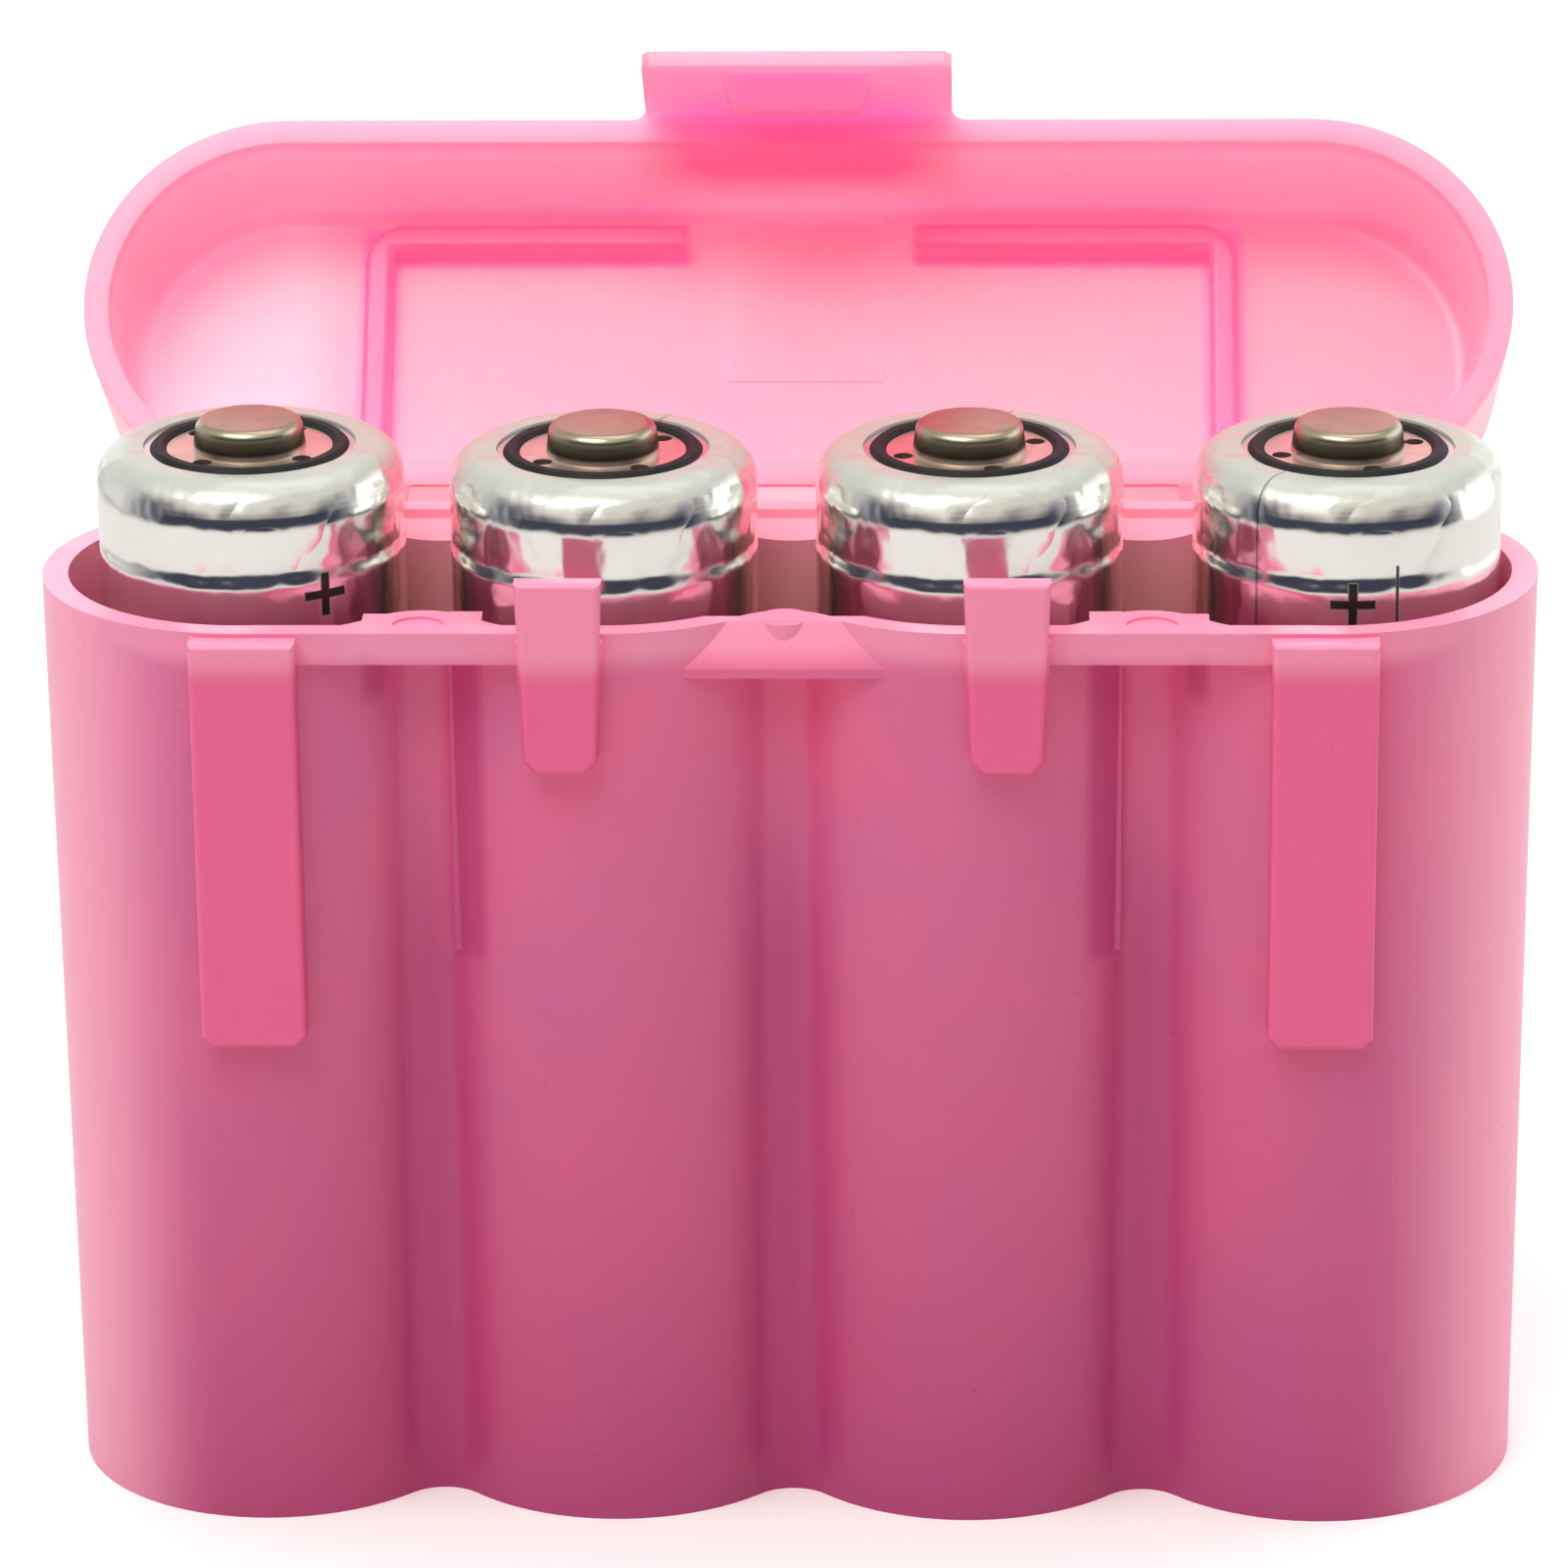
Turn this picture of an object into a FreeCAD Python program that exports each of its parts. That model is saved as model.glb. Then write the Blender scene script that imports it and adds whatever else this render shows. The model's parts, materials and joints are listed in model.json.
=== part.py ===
import FreeCAD, Part
import os
import Sketcher
from FreeCAD import Placement, Rotation, Vector

# Flip-top case for four AA cells: one polypropylene moulding with a living hinge and a snap latch.
# +Z is up, the latch faces -Y and the hinge lies along the back.
# The origin is the middle of the underside. All lengths are in millimetres.

# Driving sizes
SIZES = [
    ("cell_gap", 2.35, "between the sleeves of two neighbouring cells"),
    ("pocket_play", 1.5, "round a centred cell at the rim"),
    ("case_draft", 0.35, "pocket radius lost from rim to underside"),
    ("stand_out", 6.92, "buttons of the cells above the rim"),
    ("seat_gap", 0.02, "floor to the foot of a cell"),
    ("wall", 1.2, "side walls"),
    ("floor_wall", 1.2, "floor"),
    ("valley_round", 1.8, "outside radius in the valley between two pockets"),
    ("lip_height", 0.45, "rim lip above the ledges in the valleys"),
    ("lip_width", 1.25, "rim lip across the valleys"),
    ("collar_height", 1.5, "straight collar that bridges the valleys under the rim"),
    ("collar_inset", 0.03, "collar face behind the crown of the pockets"),
    ("catch_half", 5.5, "half length of the catch, run out into the pockets"),
    ("catch_top_inset", 1.85, "front edge of the catch behind the crown, at rim level"),
    ("catch_nose_inset", 0.75, "nose of the catch behind the crown"),
    ("catch_root", 0.35, "depth of the catch's root in the valley wall"),
    ("catch_drop", 2.4, "rim down to the underside of the catch"),
    ("catch_nose", 0.45, "height of the upright nose"),
    ("catch_hook", 0.2, "rise of the underside towards its root"),
    ("catch_lip_inset", 2.55, "lip above the catch behind the crown"),
    ("pin_radius", 1.2, "ejector pins"),
    ("pin_inset", 2.6, "ejector pins behind the crown"),
    ("pin_out", 0.15, "outer ejector pins beyond the middle of their valley"),
    ("pin_mark", 0.12, "depth of the outer pin marks"),
    ("boss_drop", 0.06, "middle pin boss below the rim"),
    ("boss_height", 2.2, "height of the middle pin boss"),
    ("skin_depth", 0.95, "plane behind the crown from which outside ribs grow"),
    ("grip_in", 0.375, "middle of each long front rib inside its pocket's middle"),
    ("grip_width", 4.85, "long front ribs"),
    ("grip_proud", 1.1, "long ribs in front of the crown"),
    ("grip_drop", 19.9, "lower end of the long ribs below the rim"),
    ("grip_top_drop", 0.2, "upper end of the long ribs below the rim"),
    ("grip_corner", 0.5, "cut corners at the foot of the long ribs"),
    ("front_round", 0.3, "rounded front edges of long ribs and guards"),
    ("guard_side_gap", 0.7, "latch to the guard on each side"),
    ("guard_width", 3.95, "latch guards at the top"),
    ("guard_taper", 0.3, "each side of a guard leans in by this much at its foot"),
    ("guard_drop", 6.5, "lower end of the guards below the rim"),
    ("guard_rise", 2.7, "guards above the rim"),
    ("guard_wall", 0.95, "guard plates"),
    ("guard_proud", 1.05, "guards in front of the crown"),
    ("guard_corner", 0.6, "cut corners at the foot of the guards"),
    ("stay_in", 1.95, "slim inner ribs from the middle of their valley"),
    ("stay_width", 1.5, "slim inner ribs"),
    ("stay_drop", 16.5, "lower end of the slim ribs below the rim"),
    ("nib_out", 2.2, "short pointed ribs from the middle of their valley"),
    ("nib_width", 1.15, "short pointed ribs"),
    ("nib_set_back", 0.35, "short ribs behind the crest of the valley"),
    ("nib_drop", 3.6, "where the short ribs start to narrow, below the rim"),
    ("nib_point", 1.0, "length of their point"),
    ("rib_root", 0.55, "depth of the inner ribs' roots in the wall"),
    ("inner_rib_drop", 0.5, "inner ribs end below the rim"),
    ("hinge_gap", 0.8, "rear rim to the fold line"),
    ("hinge_drop", 0.2, "fold line below the rim"),
    ("film_left", 19.2, "hinge film to the left of the middle"),
    ("film_right", 18.6, "hinge film to the right of the middle"),
    ("film_wall", 0.3, "hinge film"),
    ("film_gap", 0.02, "hinge film to the walls it joins"),
    ("open_angle", 130.8, "lid swung back from closed, in degrees"),
    ("lid_gap", 0.15, "closed lid above the rim"),
    ("lid_inset", 0.15, "lid's rim behind the crown of the pockets"),
    ("head_room", 0.78, "buttons of the cells to the closed lid's plate"),
    ("lid_draft", 0.3, "lid radius lost from rim to plate"),
    ("lid_wall", 1.2, "lid skirt"),
    ("plate_wall", 1.25, "lid plate"),
    ("lid_round", 0.9, "rounded outer edge of the plate"),
    ("ceiling_round", 1.0, "fillet between skirt and plate inside the lid"),
    ("brace_height", 1.5, "L-shaped ribs under the plate"),
    ("brace_start", 5.5, "inner end of each L-shaped rib from the middle"),
    ("brace_in", 3.375, "outer side of each L-shaped rib inside its pocket's middle"),
    ("brace_inset", 2.7, "front side of the L-shaped ribs behind the lid's rim"),
    ("brace_set_back", 5.0, "rear end of their legs before the lid's rim"),
    ("brace_width", 1.4, "L-shaped ribs"),
    ("brace_corner", 2.0, "outer corner radius of the L-shaped ribs"),
    ("brace_round", 0.4, "rounded edges of the L-shaped ribs"),
    ("mark_left", 3.6, "raised insert mark under the plate, left side"),
    ("mark_right", 4.1, "raised insert mark, right side"),
    ("mark_back", 1.0, "raised insert mark behind the middle"),
    ("mark_inset", 1.8, "raised insert mark behind the lid's rim"),
    ("mark_height", 0.15, "raised insert mark"),
    ("strap_half", 7.5, "half width of the latch strap"),
    ("strap_wall", 0.8, "latch strap"),
    ("strap_clear", 0.15, "latch strap to the crown of the pockets"),
    ("strap_tip", 0.7, "latch strap beyond its lug"),
    ("strap_corner", 0.35, "rounded corners at the strap's tip"),
    ("root_height", 5.6, "thick root of the strap on the skirt"),
    ("root_straight", 1.4, "part of the root that stays full thick"),
    ("root_round", 0.65, "fillets beside the root"),
    ("lug_play", 0.4, "closed lug to the underside of the catch"),
    ("lug_length", 1.65, "lug along the strap"),
    ("lug_half", 3.75, "half width of the lug on the strap"),
    ("lug_crest_half", 3.1, "half width of the lug's crest"),
    ("lug_crest", 0.55, "length of the lug's crest"),
    ("lug_bite", 0.6, "crest of the lug behind the nose of the catch"),
    ("cell_length", 50.2, "cell, foot to button"),
    ("button_rise", 1.36, "button above the crimped top of the can"),
    ("can_radius", 7.0, "steel can"),
    ("can_shoulder", 1.35, "rounded shoulder of the can"),
    ("can_foot_round", 0.6, "rounded foot of the can"),
    ("contact_radius", 4.7, "flat contact at the foot of the can"),
    ("contact_rise", 0.3, "foot contact below the rest of the can"),
    ("crimp_width", 2.35, "rolled crimp between the can's side and the seal"),
    ("well_depth", 1.6, "depth of the space under the cap"),
    ("sleeve_wall", 0.13, "foil sleeve"),
    ("sleeve_gap", 0.02, "foil sleeve over the can"),
    ("mouth_set_back", 0.3, "seal to the rolled edge of the sleeve at the top"),
    ("foot_turn", 1.1, "sleeve turned in under the foot"),
    ("seal_width", 0.75, "black seal between can and cap"),
    ("seal_rise", 0.22, "seal above the can's top"),
    ("fit_gap", 0.02, "clearance between cap, seal and can"),
    ("cap_wall", 0.25, "nickel-plated cap"),
    ("button_radius", 2.45, "button of the cap"),
    ("button_flare", 0.2, "button wider at its root by this much"),
    ("button_round", 0.45, "rounded edge of the button"),
    ("vent_radius", 0.45, "vent holes in the cap"),
]

# How each cell stands loose in its pocket: shares of the play at the foot by which it has
# slid to the right and to the back, and the turn of its vent holes in degrees
CELL_STANCE = [
    ("cell_1", -0.09, 0.87, 53.0),
    ("cell_2", -0.22, 0.26, 34.0),
    ("cell_3", 0.09, 0.43, 20.0),
    ("cell_4", 0.85, 0.43, 18.0),
]
VENTS = 4

doc = FreeCAD.newDocument("battery_case")
sheet = doc.addObject("Spreadsheet::Sheet", "Sizes")
for row, (alias, number, meaning) in enumerate(SIZES, start=1):
    sheet.set(f"A{row}", meaning)
    sheet.set(f"B{row}", str(number))
    sheet.setAlias(f"B{row}", alias)
for row, (cell, shift_x, shift_y, turn) in enumerate(CELL_STANCE, start=len(SIZES) + 1):
    sheet.set(f"A{row}", f"{cell}: slid right, slid back and turned in its pocket")
    for column, part, number in (("B", "x", shift_x), ("C", "y", shift_y), ("D", "turn", turn)):
        sheet.set(f"{column}{row}", str(number))
        sheet.setAlias(f"{column}{row}", f"{cell}_{part}")
doc.recompute()


# Reading and binding sizes
def value(expression):
    """Number that an expression on the sheet stands for now."""
    return float(sheet.evalExpression(str(expression)))


def bind(thing, prop, expression):
    thing.setExpression(prop, str(expression))


# Sketches
def sketch_on(body, name, plane, offset="0"):
    """Empty sketch on one of the body's own planes, moved along the plane's normal."""
    sketch = body.newObject("Sketcher::SketchObject", name)
    support = [item for item in body.Origin.OriginFeatures if item.Role == plane][0]
    sketch.AttachmentSupport = [(support, "")]
    sketch.MapMode = "FlatFace"
    bind(sketch, "AttachmentOffset.Base.z", offset)
    return sketch


def rule(sketch, kind, *args, to=None):
    """Constraint, with its size bound to the sheet where it has one."""
    if to is None:
        return sketch.addConstraint(Sketcher.Constraint(kind, *args))
    index = sketch.addConstraint(Sketcher.Constraint(kind, *args, value(to)))
    bind(sketch, f"Constraints[{index}]", to)
    return index


def pin_point(sketch, geometry, point, x, y):
    rule(sketch, "DistanceX", geometry, point, to=x)
    rule(sketch, "DistanceY", geometry, point, to=y)


def polygon(sketch, corners):
    """Closed outline whose corners are all placed by the sheet."""
    first = sketch.GeometryCount
    points = [Vector(value(x), value(y), 0) for x, y in corners]
    count = len(points)
    for i in range(count):
        sketch.addGeometry(Part.LineSegment(points[i], points[(i + 1) % count]))
    for i in range(count):
        rule(sketch, "Coincident", first + i, 2, first + (i + 1) % count, 1)
    for i, (x, y) in enumerate(corners):
        pin_point(sketch, first + i, 1, x, y)


def circle(sketch, x, y, radius):
    index = sketch.addGeometry(Part.Circle(Vector(value(x), value(y), 0), Vector(0, 0, 1), value(radius)))
    pin_point(sketch, index, 3, x, y)
    rule(sketch, "Radius", index, to=radius)


def arc_between(centre, start, end, turning_left=True):
    """Arc about a centre from one point to another."""
    radius = (start - centre).Length
    full = Part.Circle(centre, Vector(0, 0, 1), radius)
    angles = [full.parameter(point) for point in (start, end)]
    if not turning_left:
        angles.reverse()
    return Part.ArcOfCircle(full, angles[0], angles[1])


def stadium(sketch, half_straight, radius):
    """Two half circles joined by straight sides."""
    reach, size = value(half_straight), value(radius)
    right, left = Vector(reach, 0, 0), Vector(-reach, 0, 0)
    up = Vector(0, size, 0)
    sketch.addGeometry(arc_between(right, right - up, right + up))
    sketch.addGeometry(Part.LineSegment(right + up, left + up))
    sketch.addGeometry(arc_between(left, left + up, left - up))
    sketch.addGeometry(Part.LineSegment(left - up, right - up))
    for i in range(4):
        rule(sketch, "Tangent", i, 2, (i + 1) % 4, 1)
    pin_point(sketch, 0, 3, half_straight, "0")
    pin_point(sketch, 2, 3, f"-({half_straight})", "0")
    rule(sketch, "Radius", 0, to=radius)


def lobed_outline(sketch, radius, valley):
    """Four round pockets in a row, with the valleys between them rounded."""
    pitch, size, bend = value(PITCH), value(radius), value(valley)
    middles = [Vector(pitch * (i - 1.5), 0, 0) for i in range(4)]
    lift = ((size + bend) ** 2 - (pitch / 2) ** 2) ** 0.5
    lobes, valleys = [], []

    def touch(middle, valley_middle):
        return middle + (valley_middle - middle).normalize() * size

    def run(order, side):
        """Arcs along the front (side -1, left to right) or the back (side 1, right to left)."""
        for a, b in zip(order, order[1:]):
            dip = Vector((middles[a].x + middles[b].x) / 2, side * lift, 0)
            start, end = touch(middles[a], dip), touch(middles[b], dip)
            valleys.append(sketch.addGeometry(arc_between(dip, end, start)))
            following = Vector((middles[b].x + (middles[b].x - middles[a].x) / 2), side * lift, 0)
            if b not in (0, 3):
                goal = touch(middles[b], following)
            else:
                goal = touch(middles[b], Vector(dip.x, -side * lift, 0))
            lobes.append((sketch.addGeometry(arc_between(middles[b], end, goal)), b))

    run([0, 1, 2, 3], -1)
    run([3, 2, 1, 0], 1)
    for i, dip in enumerate(valleys):
        rule(sketch, "Tangent", dip, 2, lobes[i - 1][0], 2)
        rule(sketch, "Tangent", dip, 1, lobes[i][0], 1)
    for arc, b in lobes:
        pin_point(sketch, arc, 3, f"{b - 1.5} * {PITCH}", "0")
    rule(sketch, "Radius", lobes[0][0], to=radius)
    rule(sketch, "Radius", valleys[0], to=valley)
    for arc, _ in lobes[1:]:
        rule(sketch, "Equal", lobes[0][0], arc)
    for dip in valleys[1:]:
        rule(sketch, "Equal", valleys[0], dip)


# Features
def feature(body, kind, name, profile):
    made = body.newObject(f"PartDesign::{kind}", name)
    made.Profile = profile
    profile.Visibility = False
    return made


def pad(body, profile, name, length, both_ways=False):
    made = feature(body, "Pad", name, profile)
    if both_ways:
        made.SideType = "Symmetric"
    bind(made, "Length", length)
    return made


def pocket(body, profile, name, length=None, other_way=False):
    made = feature(body, "Pocket", name, profile)
    if length is None:
        made.Type = "ThroughAll"
    else:
        bind(made, "Length", length)
    made.Reversed = other_way
    return made


def loft(body, name, first, second):
    made = feature(body, "AdditiveLoft", name, first)
    made.Sections = [second]
    second.Visibility = False
    made.Ruled = True
    return made


def turned(body, profile, name):
    made = feature(body, "Revolution", name, profile)
    made.ReferenceAxis = (profile, ["V_Axis"])
    made.Angle = 360
    return made


def new_body(name):
    body = doc.addObject("PartDesign::Body", name)
    body.Label = name
    return body


def rounded(body, base, name, radius, wanted):
    """Fillet on the edges of the newest feature that a test picks out."""
    doc.recompute()
    names = [f"Edge{i}" for i, edge in enumerate(base.Shape.Edges, start=1) if wanted(edge)]
    made = body.newObject("PartDesign::Fillet", name)
    made.Base = (base, names)
    bind(made, "Radius", radius)
    return made


def leaning(body, base, name, angle, wall, level, inward=True):
    """Mould draft on the walls that a test picks out, pivoted about the flat faces at one height."""
    doc.recompute()
    faces = base.Shape.Faces
    walls = [f"Face{i}" for i, face in enumerate(faces, start=1) if wall(face)]
    pivot = [f"Face{i}" for i, face in enumerate(faces, start=1) if flat_at(face, level)]
    made = body.newObject("PartDesign::Draft", name)
    made.Base = (base, walls)
    made.NeutralPlane = (base, pivot[:1])
    made.Reversed = inward
    bind(made, "Angle", angle)
    return made


def flat_at(face, z):
    box = face.BoundBox
    return abs(box.ZMin - z) < 1e-4 and abs(box.ZMax - z) < 1e-4


def level_edge(z):
    """Test for edges that lie at one height."""
    def at_height(edge):
        box = edge.BoundBox
        return abs(box.ZMin - z) < 1e-4 and abs(box.ZMax - z) < 1e-4
    return at_height


def facing_edge(y):
    """Test for edges that lie in one plane across the front."""
    def in_plane(edge):
        box = edge.BoundBox
        return abs(box.YMin - y) < 1e-4 and abs(box.YMax - y) < 1e-4
    return in_plane


# Places that several features share
SLEEVE_RADIUS = "(Sizes.can_radius + Sizes.sleeve_gap + Sizes.sleeve_wall)"
PITCH = f"(2 * {SLEEVE_RADIUS} + Sizes.cell_gap)"
END_X = f"(1.5 * {PITCH})"
INNER_RIM = f"({SLEEVE_RADIUS} + Sizes.pocket_play)"
CROWN_Y = f"({INNER_RIM} + Sizes.wall)"
VALLEY_Y = f"(sqrt(({CROWN_Y} + Sizes.valley_round) ^ 2 - ({PITCH} / 2) ^ 2) - Sizes.valley_round)"
INNER_VALLEY = "(Sizes.valley_round + Sizes.wall)"
RIM_Z = "(Sizes.floor_wall + Sizes.seat_gap + Sizes.cell_length - Sizes.stand_out)"
CASE_DRAFT = f"atan(Sizes.case_draft / {RIM_Z})"
LEDGE_Z = f"({RIM_Z} - Sizes.lip_height)"
CATCH_LIP_Y = f"({CROWN_Y} - Sizes.catch_lip_inset)"
CATCH_NOSE_Y = f"({CROWN_Y} - Sizes.catch_nose_inset)"
CATCH_UNDER_Z = f"({RIM_Z} - Sizes.catch_drop)"
SKIN_Y = f"({CROWN_Y} - Sizes.skin_depth)"
FOLD_Y = f"({CROWN_Y} + Sizes.hinge_gap)"
FOLD_Z = f"({RIM_Z} - Sizes.hinge_drop)"


# Case body: lobed outside with draft, open trough inside, rim lip, catch, ribs and guards
def case_outside(body):
    """Lobed block, widest at the rim."""
    outline = sketch_on(body, "outline", "XY_Plane")
    lobed_outline(outline, CROWN_Y, "Sizes.valley_round")
    block = pad(body, outline, "outside", RIM_Z)
    return leaning(body, block, "outside_draft", CASE_DRAFT, upright, value(RIM_Z))


def upright(face):
    return face.BoundBox.ZLength > value(RIM_Z) / 2


def case_collar(body):
    """Straight collar over the valleys, left out where the latch comes down."""
    sketch = sketch_on(body, "collar_outline", "XY_Plane", f"{RIM_Z} - Sizes.collar_height")
    face = f"({CROWN_Y} - Sizes.collar_inset)"
    near = f"{PITCH} / 2"
    notch = CATCH_LIP_Y
    polygon(sketch, [
        (f"-{END_X}", f"-{face}"), (f"-{near}", f"-{face}"), (f"-{near}", f"-{notch}"),
        (near, f"-{notch}"), (near, f"-{face}"), (END_X, f"-{face}"), (END_X, face), (f"-{END_X}", face),
    ])
    return pad(body, sketch, "collar", "Sizes.collar_height")


def case_catch(body):
    """Ramp that the latch lug rides over, hooked underneath."""
    sketch = sketch_on(body, "catch_section", "YZ_Plane")
    root = f"-({VALLEY_Y} - Sizes.catch_root)"
    polygon(sketch, [
        (root, RIM_Z), (f"-({CROWN_Y} - Sizes.catch_top_inset)", RIM_Z),
        (f"-{CATCH_NOSE_Y}", f"{CATCH_UNDER_Z} + Sizes.catch_nose"), (f"-{CATCH_NOSE_Y}", CATCH_UNDER_Z),
        (root, f"{CATCH_UNDER_Z} + Sizes.catch_hook"),
    ])
    return pad(body, sketch, "catch", "2 * Sizes.catch_half", both_ways=True)


def case_trough(body):
    """One scalloped space for all four cells, with the draft of the outside."""
    outline = sketch_on(body, "trough_outline", "XY_Plane", RIM_Z)
    lobed_outline(outline, INNER_RIM, INNER_VALLEY)
    space = pocket(body, outline, "trough", f"{RIM_Z} - Sizes.floor_wall")

    def inner_wall(face):
        if not upright(face):
            return False
        return abs(face.BoundBox.ZMin - value("Sizes.floor_wall")) < 1e-4
    return leaning(body, space, "trough_draft", CASE_DRAFT, inner_wall, value(RIM_Z), inward=False)


def case_ledges(body):
    """The valleys' tops lie a little below the rim lip."""
    sketch = sketch_on(body, "ledge_outline", "XY_Plane", RIM_Z)
    inside = f"({CROWN_Y} - Sizes.lip_width)"
    near = f"{PITCH} / 2"
    polygon(sketch, [
        (f"-{END_X}", f"-{inside}"), (f"-{near}", f"-{inside}"), (f"-{near}", f"-{CATCH_LIP_Y}"),
        (near, f"-{CATCH_LIP_Y}"), (near, f"-{inside}"), (END_X, f"-{inside}"),
        (END_X, inside), (f"-{END_X}", inside),
    ])
    return pocket(body, sketch, "ledges", "Sizes.lip_height")


def case_pins(body):
    """Boss of the middle ejector pin, and the round marks of the outer two."""
    sketch = sketch_on(body, "boss_outline", "XY_Plane", f"{RIM_Z} - Sizes.boss_drop - Sizes.boss_height")
    pin_y = f"-({CROWN_Y} - Sizes.pin_inset)"
    circle(sketch, "0", pin_y, "Sizes.pin_radius")
    pad(body, sketch, "pin_boss", "Sizes.boss_height")
    marks = sketch_on(body, "pin_mark_outline", "XY_Plane", LEDGE_Z)
    for side in ("-", ""):
        circle(marks, f"{side}({PITCH} + Sizes.pin_out)", pin_y, "Sizes.pin_radius")
    return pocket(body, marks, "pin_marks", "Sizes.pin_mark")


def case_front_ribs(body):
    """Two long ribs that stand proud of the outer pockets."""
    sketch = sketch_on(body, "grip_outline", "XZ_Plane", SKIN_Y)
    for side in (-1, 1):
        middle = f"{side} * ({END_X} - Sizes.grip_in)"
        bottom, top = f"{RIM_Z} - Sizes.grip_drop", f"{RIM_Z} - Sizes.grip_top_drop"
        cut = "Sizes.grip_corner"
        left, right = f"{middle} - Sizes.grip_width / 2", f"{middle} + Sizes.grip_width / 2"
        polygon(sketch, [
            (left, top), (left, f"{bottom} + {cut}"), (f"{left} + {cut}", bottom),
            (f"{right} - {cut}", bottom), (right, f"{bottom} + {cut}"), (right, top),
        ])
    ribs = pad(body, sketch, "front_ribs", "Sizes.grip_proud + Sizes.skin_depth")
    face = facing_edge(-value(f"{CROWN_Y} + Sizes.grip_proud"))
    return rounded(body, ribs, "front_rib_edges", "Sizes.front_round", face)


def guard_outline(sketch, top):
    bottom, lean, cut = f"{RIM_Z} - Sizes.guard_drop", "Sizes.guard_taper", "Sizes.guard_corner"
    for side in (-1, 1):
        near = f"{side} * (Sizes.strap_half + Sizes.guard_side_gap)"
        far = f"{side} * (Sizes.strap_half + Sizes.guard_side_gap + Sizes.guard_width)"
        polygon(sketch, [
            (near, top), (f"{near} + {side} * {lean}", f"{bottom} + {cut}"),
            (f"{near} + {side} * ({lean} + {cut})", bottom), (f"{far} - {side} * ({lean} + {cut})", bottom),
            (f"{far} - {side} * {lean}", f"{bottom} + {cut}"), (far, top),
        ])


def case_guards(body):
    """Plates on both sides of the latch, backed by the pockets below the rim."""
    front = f"{CROWN_Y} + Sizes.guard_proud"
    plate = sketch_on(body, "guard_plate_outline", "XZ_Plane", f"{front} - Sizes.guard_wall")
    guard_outline(plate, f"{RIM_Z} + Sizes.guard_rise")
    pad(body, plate, "guard_plates", "Sizes.guard_wall")
    back = sketch_on(body, "guard_back_outline", "XZ_Plane", SKIN_Y)
    guard_outline(back, f"{RIM_Z} - Sizes.grip_top_drop")
    guards = pad(body, back, "guard_backs", "Sizes.guard_proud - Sizes.guard_wall / 2 + Sizes.skin_depth")
    return rounded(body, guards, "guard_edges", "Sizes.front_round", facing_edge(-value(front)))


def case_inner_ribs(body):
    """Slim and pointed ribs on the inner face of the front wall."""
    top = f"{RIM_Z} - Sizes.inner_rib_drop"
    crest = f"({VALLEY_Y} - Sizes.wall)"
    depth = "(Sizes.wall + Sizes.rib_root)"
    stays = sketch_on(body, "stay_outline", "XZ_Plane", crest)
    for side in (-1, 1):
        middle, foot = f"{side} * ({PITCH} - Sizes.stay_in)", f"{RIM_Z} - Sizes.stay_drop"
        left, right = f"{middle} - Sizes.stay_width / 2", f"{middle} + Sizes.stay_width / 2"
        polygon(stays, [(left, top), (left, foot), (right, foot), (right, top)])
    pad(body, stays, "inner_stays", depth)
    nibs = sketch_on(body, "nib_outline", "XZ_Plane", f"{crest} + Sizes.nib_set_back")
    for side in (-1, 1):
        middle, foot = f"{side} * ({PITCH} + Sizes.nib_out)", f"{RIM_Z} - Sizes.nib_drop"
        left, right = f"{middle} - Sizes.nib_width / 2", f"{middle} + Sizes.nib_width / 2"
        polygon(nibs, [(left, top), (left, foot), (middle, f"{foot} - Sizes.nib_point"), (right, foot),
                       (right, top)])
    return pad(body, nibs, "inner_nibs", f"{depth} - Sizes.nib_set_back")


def make_case_body():
    body = new_body("case_body")
    case_outside(body)
    case_collar(body)
    case_catch(body)
    case_trough(body)
    case_ledges(body)
    case_pins(body)
    case_front_ribs(body)
    case_guards(body)
    case_inner_ribs(body)
    return body


# Lid, drawn closed and then swung open about the fold line
LID_RIM_Z = f"({RIM_Z} + Sizes.lid_gap)"
LID_RADIUS = f"({CROWN_Y} - Sizes.lid_inset)"
LID_CAVITY = "(Sizes.stand_out + Sizes.head_room - Sizes.lid_gap)"
LID_DEPTH = f"({LID_CAVITY} + Sizes.plate_wall)"
LID_TOP_Z = f"({LID_RIM_Z} + {LID_DEPTH})"
CEILING_Z = f"({LID_RIM_Z} + {LID_CAVITY})"
LID_DRAFT = f"atan(Sizes.lid_draft / {LID_DEPTH})"
STRAP_INNER_Y = f"({CROWN_Y} + Sizes.strap_clear)"
STRAP_OUTER_Y = f"({STRAP_INNER_Y} + Sizes.strap_wall)"
LUG_HOLD_Z = f"({CATCH_UNDER_Z} - Sizes.lug_play)"
LUG_START_Z = f"({LUG_HOLD_Z} - Sizes.lug_length)"


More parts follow.
